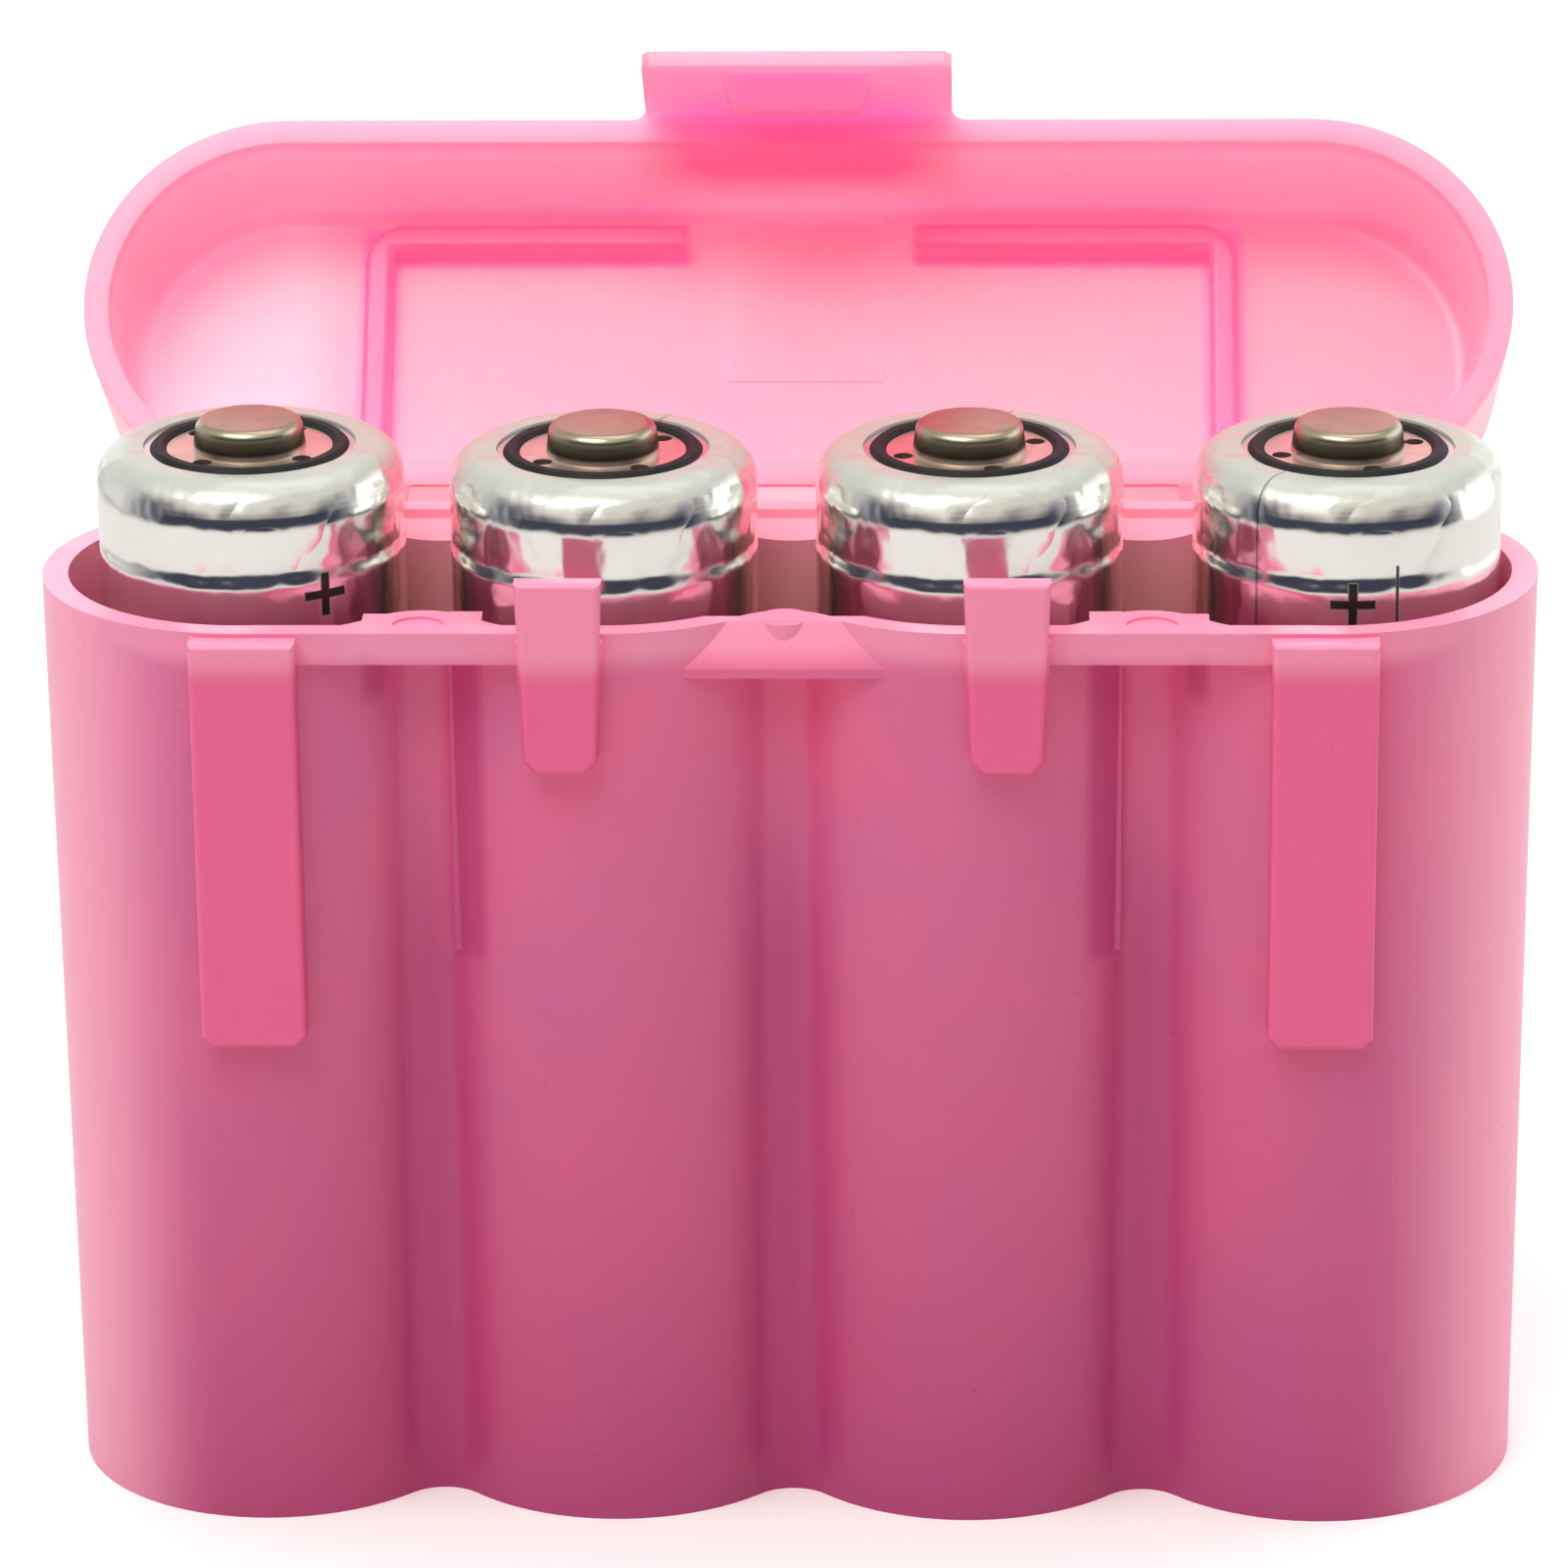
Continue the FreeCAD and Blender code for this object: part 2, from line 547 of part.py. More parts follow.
def lid_shell(body):
    """Shallow tray with draft, a rounded plate edge and an even wall."""
    rim_z = value(LID_RIM_Z)
    rim = sketch_on(body, "lid_rim_outline", "XY_Plane", LID_RIM_Z)
    stadium(rim, END_X, LID_RADIUS)
    block = pad(body, rim, "lid_outside", LID_DEPTH)

    def skirt(face):
        return face.BoundBox.ZLength > value(LID_DEPTH) / 2
    outside = leaning(body, block, "lid_outside_draft", LID_DRAFT, skirt, rim_z, inward=False)
    rounded(body, outside, "plate_edge", "Sizes.lid_round", level_edge(value(LID_TOP_Z)))
    mouth = sketch_on(body, "cavity_mouth", "XY_Plane", LID_RIM_Z)
    stadium(mouth, END_X, f"{LID_RADIUS} - Sizes.lid_wall")
    space = pocket(body, mouth, "cavity", LID_CAVITY, other_way=True)

    def inner_wall(face):
        return abs(face.BoundBox.ZMax - value(CEILING_Z)) < 1e-4 and abs(face.BoundBox.ZMin - rim_z) < 1e-4
    hollow = leaning(body, space, "cavity_draft", LID_DRAFT, inner_wall, rim_z)
    return rounded(body, hollow, "ceiling_edge", "Sizes.ceiling_round", level_edge(value(CEILING_Z)))


def lid_braces(body):
    """Two L-shaped ribs under the plate, over the outer cells."""
    low = f"({CEILING_Z} - Sizes.brace_height)"
    sketch = sketch_on(body, "brace_outline", "XY_Plane", low)
    front, back = f"-({LID_RADIUS} - Sizes.brace_inset)", f"({LID_RADIUS} - Sizes.brace_set_back)"
    reach = f"({END_X} - Sizes.brace_in)"
    for side in (-1, 1):
        inner, outer = f"{side} * Sizes.brace_start", f"{side} * {reach}"
        leg, bar = f"{side} * ({reach} - Sizes.brace_width)", f"{front} + Sizes.brace_width"
        corners = [(inner, front), (outer, front), (outer, back), (leg, back), (leg, bar), (inner, bar)]
        polygon(sketch, corners)
    braces = pad(body, sketch, "braces", "Sizes.brace_height + Sizes.plate_wall / 2")

    def outer_corner(edge):
        box = edge.BoundBox
        at_corner = abs(abs(box.XMin) - value(reach)) < 1e-4 and abs(box.YMin - value(front)) < 1e-4
        return at_corner and box.ZLength > value("Sizes.brace_height") / 2
    bent = rounded(body, braces, "brace_corners", "Sizes.brace_corner", outer_corner)
    return rounded(body, bent, "brace_edges", "Sizes.brace_round", level_edge(value(low)))


def lid_insert_mark(body):
    sketch = sketch_on(body, "insert_mark_outline", "XY_Plane", f"{CEILING_Z} - Sizes.mark_height")
    front = f"-({LID_RADIUS} - Sizes.mark_inset)"
    polygon(sketch, [
        ("-Sizes.mark_left", front), ("Sizes.mark_right", front),
        ("Sizes.mark_right", "Sizes.mark_back"), ("-Sizes.mark_left", "Sizes.mark_back"),
    ])
    return pad(body, sketch, "insert_mark", "Sizes.mark_height + Sizes.plate_wall / 2")


def lid_strap_root(body):
    """Thick root on the skirt with a fillet on each side, faded towards the plate."""
    sketch = sketch_on(body, "root_outline", "XY_Plane", LID_RIM_Z)
    half, bend = value("Sizes.strap_half"), value("Sizes.root_round")
    face, skirt = -value(STRAP_OUTER_Y), -value(LID_RADIUS)
    inside = -value(f"{LID_RADIUS} - Sizes.lid_wall / 2")
    corners = [
        Vector(half, face, 0), Vector(half, skirt - bend, 0), Vector(half + bend, skirt, 0),
        Vector(half + bend, inside, 0), Vector(-half - bend, inside, 0), Vector(-half - bend, skirt, 0),
        Vector(-half, skirt - bend, 0), Vector(-half, face, 0),
    ]
    right, left = Vector(half + bend, skirt - bend, 0), Vector(-half - bend, skirt - bend, 0)
    sketch.addGeometry(Part.LineSegment(corners[0], corners[1]))
    sketch.addGeometry(arc_between(right, corners[2], corners[1]))
    for i in (2, 3, 4):
        sketch.addGeometry(Part.LineSegment(corners[i], corners[i + 1]))
    sketch.addGeometry(arc_between(left, corners[6], corners[5]))
    sketch.addGeometry(Part.LineSegment(corners[6], corners[7]))
    sketch.addGeometry(Part.LineSegment(corners[7], corners[0]))
    joints = [(0, 2, 1, 2), (1, 1, 2, 1), (2, 2, 3, 1), (3, 2, 4, 1), (4, 2, 5, 2), (5, 1, 6, 1),
              (6, 2, 7, 1), (7, 2, 0, 1)]
    for joint in joints:
        rule(sketch, "Coincident", *joint)
    wide = "(Sizes.strap_half + Sizes.root_round)"
    neck = f"-({LID_RADIUS} + Sizes.root_round)"
    root = f"-({LID_RADIUS} - Sizes.lid_wall / 2)"
    pin_point(sketch, 0, 1, "Sizes.strap_half", f"-{STRAP_OUTER_Y}")
    pin_point(sketch, 0, 2, "Sizes.strap_half", neck)
    pin_point(sketch, 2, 1, wide, f"-{LID_RADIUS}")
    pin_point(sketch, 3, 1, wide, root)
    pin_point(sketch, 4, 1, f"-{wide}", root)
    pin_point(sketch, 4, 2, f"-{wide}", f"-{LID_RADIUS}")
    pin_point(sketch, 6, 1, "-Sizes.strap_half", neck)
    pin_point(sketch, 7, 1, "-Sizes.strap_half", f"-{STRAP_OUTER_Y}")
    rule(sketch, "Radius", 1, to="Sizes.root_round")
    rule(sketch, "Radius", 5, to="Sizes.root_round")
    pad(body, sketch, "strap_root", "Sizes.root_height")
    slope = sketch_on(body, "root_slope", "YZ_Plane")
    beyond = f"-({STRAP_OUTER_Y} + Sizes.root_round)"
    end = f"{LID_RIM_Z} + Sizes.root_height"
    faded = f"-({LID_RADIUS} - Sizes.lid_draft / 2)"
    polygon(slope, [
        (f"-{STRAP_OUTER_Y}", f"{LID_RIM_Z} + Sizes.root_straight"),
        (faded, end), (faded, f"{end} + Sizes.root_round"),
        (beyond, f"{end} + Sizes.root_round"), (beyond, f"{LID_RIM_Z} + Sizes.root_straight"),
    ])
    cut = pocket(body, slope, "root_fade")
    cut.SideType = "Symmetric"
    return cut


def lid_strap(body):
    """Flexible strap below the rim."""
    sketch = sketch_on(body, "strap_outline", "XZ_Plane", STRAP_INNER_Y)
    cut = "Sizes.strap_corner"
    tip = f"{LUG_START_Z} - Sizes.strap_tip"
    half = "Sizes.strap_half"
    top = f"{LID_RIM_Z} + Sizes.root_straight"
    polygon(sketch, [
        (f"-{half}", top), (f"-{half}", f"{tip} + {cut}"), (f"-{half} + {cut}", tip),
        (f"{half} - {cut}", tip), (half, f"{tip} + {cut}"), (half, top),
    ])
    return pad(body, sketch, "strap", "Sizes.strap_wall")


def lid_lug(body):
    """Wedge on the strap that snaps under the catch."""
    foot = sketch_on(body, "lug_foot", "XZ_Plane", f"{STRAP_INNER_Y} + Sizes.strap_wall / 4")
    wide, narrow = "Sizes.lug_half", "Sizes.lug_crest_half"
    start, hold = LUG_START_Z, LUG_HOLD_Z
    polygon(foot, [(f"-{wide}", start), (wide, start), (wide, hold), (f"-{wide}", hold)])
    crest = sketch_on(body, "lug_crest_outline", "XZ_Plane", f"{CATCH_NOSE_Y} - Sizes.lug_bite")
    low = f"{hold} - Sizes.lug_crest"
    polygon(crest, [(f"-{narrow}", low), (narrow, low), (narrow, hold), (f"-{narrow}", hold)])
    return loft(body, "lug", foot, crest)


def make_lid():
    body = new_body("lid")
    lid_shell(body)
    lid_braces(body)
    lid_insert_mark(body)
    lid_strap_root(body)
    lid_strap(body)
    lid_lug(body)
    body.Placement = open_placement()
    return body


def open_placement():
    fold = Vector(0, value(FOLD_Y), value(FOLD_Z))
    swing = Rotation(Vector(1, 0, 0), -value("Sizes.open_angle"))
    return Placement(fold, swing).multiply(Placement(-fold, Rotation()))


# Living hinge: thin film from the rear rim round the fold line to the opened lid
def make_living_hinge():
    body = new_body("living_hinge")
    sketch = sketch_on(body, "film_section", "YZ_Plane", "-Sizes.film_left")
    swung = "Sizes.open_angle * 1deg"
    reach = "(Sizes.hinge_gap + Sizes.lid_inset - Sizes.film_gap)"
    rise = "(Sizes.lid_gap + Sizes.hinge_drop)"

    def on_lid(extra):
        """Point of the lid's rear wall after the swing, as sheet expressions."""
        high = f"({rise} + {extra})"
        y = f"{FOLD_Y} - {reach} * cos({swung}) + {high} * sin({swung})"
        z = f"{FOLD_Z} + {reach} * sin({swung}) + {high} * cos({swung})"
        return y, z

    start = f"{CROWN_Y} + Sizes.film_gap"
    low = f"{FOLD_Z} - Sizes.film_wall"
    bend = f"{FOLD_Y} - Sizes.hinge_gap / 4"
    polygon(sketch, [
        (start, low), (FOLD_Y, low), on_lid("Sizes.film_wall"), on_lid("0"), (bend, FOLD_Z), (start, FOLD_Z),
    ])
    pad(body, sketch, "film", "Sizes.film_left + Sizes.film_right")
    return body


# Cells: sealed steel can, black seal, vented cap and a foil sleeve, all turned profiles
CAN_TOP = "(Sizes.cell_length - Sizes.button_rise)"
WELL_RADIUS = "(Sizes.can_radius - Sizes.crimp_width)"
WELL_FLOOR = f"({CAN_TOP} - Sizes.well_depth)"
CAP_RADIUS = f"({WELL_RADIUS} - Sizes.seal_width - 2 * Sizes.fit_gap)"


def cell_sketch(body, name, corners):
    sketch = sketch_on(body, name, "XZ_Plane")
    polygon(sketch, corners)
    return sketch


def ring_at(z, radius):
    """Test for full rings of one radius at one height."""
    flat = level_edge(z)

    def ring(edge):
        return flat(edge) and abs(edge.BoundBox.XMax - radius) < 1e-3
    return ring


def make_can(name):
    """Solid can with a flat contact at its foot and a well for seal and cap."""
    body = new_body(name)
    out, low = "Sizes.can_radius", "Sizes.contact_rise"
    sketch = cell_sketch(body, "can_section", [
        ("0", "0"), ("Sizes.contact_radius", "0"), (f"Sizes.contact_radius + {low}", low), (out, low),
        (out, CAN_TOP), (WELL_RADIUS, CAN_TOP), (WELL_RADIUS, WELL_FLOOR), ("0", WELL_FLOOR),
    ])
    made = turned(body, sketch, "can")
    shoulder = rounded(body, made, "shoulder", "Sizes.can_shoulder", ring_at(value(CAN_TOP), value(out)))
    rounded(body, shoulder, "foot", "Sizes.can_foot_round", ring_at(value(low), value(out)))
    return body


def make_sleeve(name):
    """Foil rolled over the shoulder and under the foot, following the can's curves."""
    body = new_body(name)
    gap, skin = "Sizes.sleeve_gap", "Sizes.sleeve_wall"
    inner, outer = f"(Sizes.can_radius + {gap})", SLEEVE_RADIUS
    top, low = f"({CAN_TOP} + {gap})", f"(Sizes.contact_rise - {gap})"
    mouth, turn = f"{WELL_RADIUS} + Sizes.mouth_set_back", "Sizes.can_radius - Sizes.foot_turn"
    sketch = cell_sketch(body, "sleeve_section", [
        (mouth, top), (inner, top), (inner, low), (turn, low), (turn, f"{low} - {skin}"),
        (outer, f"{low} - {skin}"), (outer, f"{top} + {skin}"), (mouth, f"{top} + {skin}"),
    ])
    made = turned(body, sketch, "sleeve")
    bends = [
        ("inner_shoulder", top, inner, f"Sizes.can_shoulder + {gap}"),
        ("outer_shoulder", f"{top} + {skin}", outer, f"Sizes.can_shoulder + {gap} + {skin}"),
        ("inner_foot", low, inner, f"Sizes.can_foot_round + {gap}"),
        ("outer_foot", f"{low} - {skin}", outer, f"Sizes.can_foot_round + {gap} + {skin}"),
    ]
    for bend, z, radius, size in bends:
        made = rounded(body, made, bend, size, ring_at(value(z), value(radius)))
    return body


def make_seal(name):
    """Ring with a rounded crown between the can's crimp and the cap."""
    body = new_body(name)
    outer = f"({WELL_RADIUS} - Sizes.fit_gap)"
    inner = f"({outer} - Sizes.seal_width)"
    top = f"({CAN_TOP} + Sizes.seal_rise)"
    low = f"({WELL_FLOOR} + Sizes.fit_gap)"
    crown = "Sizes.seal_width / 4"
    sketch = cell_sketch(body, "seal_section", [
        (inner, low), (outer, low), (outer, f"{top} - {crown}"), (f"{outer} - {crown}", top),
        (f"{inner} + {crown}", top), (inner, f"{top} - {crown}"),
    ])
    turned(body, sketch, "seal")
    return body


def make_cap(name):
    """Pressed cap: flat plate with vent holes and a raised button, open underneath."""
    body = new_body(name)
    top, skin = "Sizes.cell_length", "Sizes.cap_wall"
    crown, root = "Sizes.button_radius", "(Sizes.button_radius + Sizes.button_flare)"
    foot = f"({WELL_FLOOR} + Sizes.fit_gap)"
    sketch = cell_sketch(body, "cap_section", [
        ("0", top), (crown, top), (root, CAN_TOP), (CAP_RADIUS, CAN_TOP), (CAP_RADIUS, foot),
        (f"{CAP_RADIUS} - {skin}", foot), (f"{CAP_RADIUS} - {skin}", f"{CAN_TOP} - {skin}"),
        (f"{root} - {skin}", f"{CAN_TOP} - {skin}"), (f"{crown} - {skin}", f"{top} - {skin}"),
        ("0", f"{top} - {skin}"),
    ])
    shell = turned(body, sketch, "pressing")
    rounded(body, shell, "button_edge", "Sizes.button_round", ring_at(value(top), value(crown)))
    doc.recompute()
    hole = sketch_on(body, "vent_outline", "XY_Plane", f"{CAN_TOP} + {skin}")
    circle(hole, f"({root} + {CAP_RADIUS}) / 2", "0", "Sizes.vent_radius")
    vent = pocket(body, hole, "vent", f"3 * {skin}")
    ring = body.newObject("PartDesign::PolarPattern", "vents")
    ring.Originals = [vent]
    ring.Axis = (hole, ["N_Axis"])
    ring.Angle = 360
    ring.Occurrences = VENTS
    body.Tip = ring
    return body


def stand(body, cell):
    """Cell piece at its place on the floor of the case."""
    lobe = [name for name, *_ in CELL_STANCE].index(cell)
    play = "(Sizes.pocket_play - Sizes.case_draft)"
    x = value(f"{lobe - 1.5} * {PITCH} + Sizes.{cell}_x * {play}")
    spot = Vector(x, value(f"Sizes.{cell}_y * {play}"), value("Sizes.floor_wall + Sizes.seat_gap"))
    body.Placement = Placement(spot, Rotation(Vector(0, 0, 1), value(f"Sizes.{cell}_turn")))


def make_cells():
    makers = {"can": make_can, "seal": make_seal, "cap": make_cap, "sleeve": make_sleeve}
    for cell, *_ in CELL_STANCE:
        for piece, make in makers.items():
            stand(make(f"{cell}_{piece}"), cell)


make_case_body()
make_lid()
make_living_hinge()
make_cells()
doc.recompute()

# Every object has to be sound before anything is written
for item in doc.Objects:
    if "Invalid" in item.State or "Error" in item.State:
        raise RuntimeError(f"{item.Name} failed: {item.State}")
bodies = doc.findObjects("PartDesign::Body")
for body in bodies:
    if body.Shape.isNull() or not body.Shape.isValid() or len(body.Shape.Solids) != 1:
        raise RuntimeError(f"{body.Label} is not one valid solid")

os.makedirs("parts", exist_ok=True)
for body in bodies:
    body.Shape.exportStep(f"parts/{body.Label}.step")
    print(body.Label, round(body.Shape.Volume, 1), "mm3")
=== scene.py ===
# %% [markdown]
# A flip-top case for four AA cells, moulded in one piece of translucent pink polypropylene.
# The solids come from the CAD frame at their real size, in metres. This file gives every surface its finish,
# makes a strip for the hinge film, and sets up a plain studio with the camera.

# %% Load the frame
import json
import math

import bmesh
import bpy
from mathutils import Matrix, Vector


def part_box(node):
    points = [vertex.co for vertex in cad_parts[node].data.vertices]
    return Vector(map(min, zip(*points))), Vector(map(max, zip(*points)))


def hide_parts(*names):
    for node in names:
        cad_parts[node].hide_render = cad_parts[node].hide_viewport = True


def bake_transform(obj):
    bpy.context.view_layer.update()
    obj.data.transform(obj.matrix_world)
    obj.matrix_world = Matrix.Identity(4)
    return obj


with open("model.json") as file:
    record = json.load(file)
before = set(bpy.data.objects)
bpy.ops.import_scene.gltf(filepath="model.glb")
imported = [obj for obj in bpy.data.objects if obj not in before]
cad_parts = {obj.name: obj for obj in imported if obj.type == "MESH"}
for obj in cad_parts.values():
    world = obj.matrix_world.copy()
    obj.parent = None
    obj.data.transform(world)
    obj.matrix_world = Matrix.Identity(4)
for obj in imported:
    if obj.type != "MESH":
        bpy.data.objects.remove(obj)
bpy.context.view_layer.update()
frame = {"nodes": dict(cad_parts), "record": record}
nodes = frame["nodes"]
print("pieces in the frame:", len(nodes))

# %% [markdown]
# The camera stands about a third of a metre in front of the case and looks down by twenty degrees.
# Its place and lens were worked out from the outline of the case, so they are plain numbers here.

# %% Camera
MM = 0.001
CAMERA_PLACE = Vector((9.66, -331.04, 154.16)) * MM
LOOK_DOWN = 0.3489
LOOK_LEFT = 0.0301
TILT = 0.0096
FOCAL_PIXELS = 7636.25
PHOTO_PIXELS = 1600
SENSOR_MM = 36.0


def camera_turn():
    """Rotation whose columns are the camera's right, up and backward directions."""
    forward = Vector((-math.sin(LOOK_LEFT) * math.cos(LOOK_DOWN), math.cos(LOOK_LEFT) * math.cos(LOOK_DOWN),
                      -math.sin(LOOK_DOWN)))
    level_right = Vector((math.cos(LOOK_LEFT), math.sin(LOOK_LEFT), 0))
    level_up = level_right.cross(forward)
    right = level_right * math.cos(TILT) - level_up * math.sin(TILT)
    up = level_right * math.sin(TILT) + level_up * math.cos(TILT)
    return Matrix((right, up, -forward)).transposed()


camera_data = bpy.data.cameras.new("camera")
camera_data.sensor_width = SENSOR_MM
camera_data.lens = FOCAL_PIXELS * SENSOR_MM / PHOTO_PIXELS
camera_data.clip_start = 10 * MM
camera = bpy.data.objects.new("camera", camera_data)
camera.matrix_world = Matrix.Translation(CAMERA_PLACE) @ camera_turn().to_4x4()
bpy.context.scene.collection.objects.link(camera)
bpy.context.scene.camera = camera
print("lens in mm:", round(camera_data.lens, 1))

# %% [markdown]
# The photograph is a white packshot. The floor and the world are white where the camera sees them,
# while the lamps stay at a plain level. The studio is white behind the case and dark on the camera's side,
# between the floor and the overhead light, because that gap draws the dark bands on a foil sleeve.

# %% World
def node_input(node, name, value):
    node.inputs[name].default_value = value


def math_node(tree, operation, first, second=None, third=None, clamp=False):
    """Math node whose inputs are sockets or numbers; returns its output."""
    node = tree.nodes.new("ShaderNodeMath")
    node.operation = operation
    node.use_clamp = clamp
    for slot, source in enumerate((first, second, third)):
        if source is None:
            continue
        if isinstance(source, (int, float)):
            node.inputs[slot].default_value = source
        else:
            tree.links.new(source, node.inputs[slot])
    return node.outputs[0]


def scaled(tree, source, share):
    return math_node(tree, "MULTIPLY", source, share)


def ramp_node(tree, source, stops):
    """Colour ramp through (position, grey or colour) stops."""
    node = tree.nodes.new("ShaderNodeValToRGB")
    node.color_ramp.elements[0].position = stops[0][0]
    node.color_ramp.elements[1].position = stops[-1][0]
    for position, _ in stops[1:-1]:
        node.color_ramp.elements.new(position)
    for element, (_, colour) in zip(node.color_ramp.elements, stops):
        shade = (colour, colour, colour) if isinstance(colour, (int, float)) else colour
        element.color = (*shade, 1)
    tree.links.new(source, node.inputs[0])
    return node.outputs[0]


WORLD_LIGHT = 1.0
scene = bpy.context.scene
scene.view_settings.view_transform = "Standard"
world = bpy.data.worlds.new("studio")
scene.world = world
world.use_nodes = True
tree = world.node_tree
tree.nodes.clear()
place = tree.nodes.new("ShaderNodeTexCoord")
split = tree.nodes.new("ShaderNodeSeparateXYZ")
tree.links.new(place.outputs["Generated"], split.inputs[0])
height = math_node(tree, "MULTIPLY_ADD", split.outputs["Z"], 0.5, 0.5)
NAVY, CREAM, BEHIND_GREY = (0.035, 0.04, 0.075), (0.92, 0.89, 0.80), (0.85, 0.85, 0.85)
STUDIO_STOPS = [(0.0, 0.8), (0.42, 0.7), (0.47, NAVY), (0.72, NAVY), (0.80, CREAM), (1.0, CREAM)]
studio = ramp_node(tree, height, STUDIO_STOPS)
behind = math_node(tree, "MULTIPLY_ADD", split.outputs["Y"], 1.4, 0.55, clamp=True)
around = tree.nodes.new("ShaderNodeMix")
around.data_type = "RGBA"
tree.links.new(behind, around.inputs[0])
tree.links.new(studio, around.inputs[6])
around.inputs[7].default_value = (*BEHIND_GREY, 1)
light = tree.nodes.new("ShaderNodeBackground")
tree.links.new(around.outputs[2], light.inputs["Color"])
node_input(light, "Strength", WORLD_LIGHT)
white = tree.nodes.new("ShaderNodeBackground")
node_input(white, "Color", (1, 1, 1, 1))
rays = tree.nodes.new("ShaderNodeLightPath")
choose = tree.nodes.new("ShaderNodeMixShader")
tree.links.new(rays.outputs["Is Camera Ray"], choose.inputs[0])
tree.links.new(light.outputs[0], choose.inputs[1])
tree.links.new(white.outputs[0], choose.inputs[2])
output = tree.nodes.new("ShaderNodeOutputWorld")
tree.links.new(choose.outputs[0], output.inputs["Surface"])
print("world light:", WORLD_LIGHT)

# %% [markdown]
# The floor is a wide pale sheet that the case stands on. Seen straight it is white like the background,
# and it keeps the soft shadow at the foot of the case.

# %% Floor and lamps
def new_material(name):
    material = bpy.data.materials.new(name)
    material.use_nodes = True
    material.node_tree.nodes.clear()
    return material, material.node_tree


def to_surface(tree, shader):
    output = tree.nodes.new("ShaderNodeOutputMaterial")
    tree.links.new(shader.outputs[0], output.inputs["Surface"])


def new_object(name, mesh):
    thing = bpy.data.objects.new(name, mesh)
    scene.collection.objects.link(thing)
    return thing


FLOOR_SIZE = 4.0
floor_mesh = bpy.data.meshes.new("floor")
bm = bmesh.new()
bmesh.ops.create_grid(bm, x_segments=2, y_segments=2, size=FLOOR_SIZE)
bm.to_mesh(floor_mesh)
bm.free()
floor = new_object("floor", floor_mesh)
paper, tree = new_material("white_paper")
diffuse = tree.nodes.new("ShaderNodeBsdfPrincipled")
rays = tree.nodes.new("ShaderNodeLightPath")
FLOOR_SEEN, FLOOR_LIGHT = 1.0, 0.7
seen = rays.outputs["Is Camera Ray"]
paper_shade = math_node(tree, "MULTIPLY_ADD", seen, FLOOR_SEEN - FLOOR_LIGHT, FLOOR_LIGHT)
tree.links.new(paper_shade, diffuse.inputs["Base Color"])
node_input(diffuse, "Roughness", 0.9)
to_surface(tree, diffuse)
floor_mesh.materials.append(paper)


def lamp(name, place, size, watts):
    data = bpy.data.lights.new(name, "AREA")
    data.shape = "RECTANGLE"
    data.size, data.size_y = size
    data.energy = watts
    thing = bpy.data.objects.new(name, data)
    aim = (MIDDLE - Vector(place)).to_track_quat("-Z", "Y")
    thing.matrix_world = Matrix.Translation(Vector(place)) @ aim.to_matrix().to_4x4()
    scene.collection.objects.link(thing)


MIDDLE = Vector((0, 0, 0.03))
lamp("key_light", (-0.16, -0.22, 0.52), (0.40, 0.30), 1.8)
lamp("top_light", (0.10, 0.16, 0.62), (0.50, 0.30), 0.9)
lamp("back_light", (0.0, 0.60, 0.14), (0.90, 0.30), 0.9)
lamp("side_light", (0.50, 0.22, 0.14), (0.50, 0.40), 0.8)

# %% [markdown]
# The plastic is polypropylene, milky and clear at once: light enters it, scatters, and comes out pink and soft.
# The open lid stands in the light and glows, so it gets subsurface scattering, with red travelling farthest.
# The case is full of dark cells that swallow its light. A tint by place stands in for that at a fraction of the
# render
# time: deeper where the wall dips between the cells, from thicker plastic and painted shade, painted shade towards
# the bottom, lilac in slow clouds, and painted light that makes the ends, the rim and the inside of the rear wall
# pale.
# Lamp light passes through both tinted, by a transparent shader that only shadow rays see.

# %% Helpers for masks
def soft_box(tree, coordinate, centre, half, soft):
    """1 within half of centre, 0 outside, with an edge as wide as soft; all three in mm."""
    away = math_node(tree, "ABSOLUTE", math_node(tree, "SUBTRACT", coordinate, centre * MM))
    inside = math_node(tree, "SUBTRACT", half * MM, away)
    return math_node(tree, "MULTIPLY_ADD", inside, 1 / (soft * MM), 0.5, clamp=True)


def eased(tree, mask):
    """Rounds off the start and end of a mask that runs straight from 0 to 1."""
    node = tree.nodes.new("ShaderNodeMapRange")
    node.interpolation_type = "SMOOTHERSTEP"
    tree.links.new(mask, node.inputs["Value"])
    return node.outputs[0]


def past(tree, upper, lower, steepness):
    """Eased mask: 0 until upper passes lower, 1 once it is 1 / steepness metres past it."""
    return eased(tree, scaled(tree, math_node(tree, "SUBTRACT", upper, lower), steepness))


def both(tree, *masks):
    result = masks[0]
    for mask in masks[1:]:
        result = scaled(tree, result, mask)
    return result


def either(tree, *masks):
    result = masks[0]
    for mask in masks[1:]:
        result = math_node(tree, "MAXIMUM", result, mask)
    return result


def noise(tree, coords, scale, detail=2.0, roughness=0.5):
    node = tree.nodes.new("ShaderNodeTexNoise")
    node_input(node, "Scale", scale)
    node_input(node, "Detail", detail)
    node_input(node, "Roughness", roughness)
    tree.links.new(coords, node.inputs["Vector"])
    return node.outputs["Fac"]


def bump_up(tree, shader, height, strength, distance):
    """Lets a height move the shader's normal; distance is the depth in metres where the height is 1."""
    bump = tree.nodes.new("ShaderNodeBump")
    node_input(bump, "Strength", strength)
    node_input(bump, "Distance", distance)
    tree.links.new(height, bump.inputs["Height"])
    tree.links.new(bump.outputs[0], shader.inputs["Normal"])


def dress(name, material):
    """Give a frame node its material."""
    mesh = nodes[name].data
    mesh.materials.clear()
    mesh.materials.append(material)


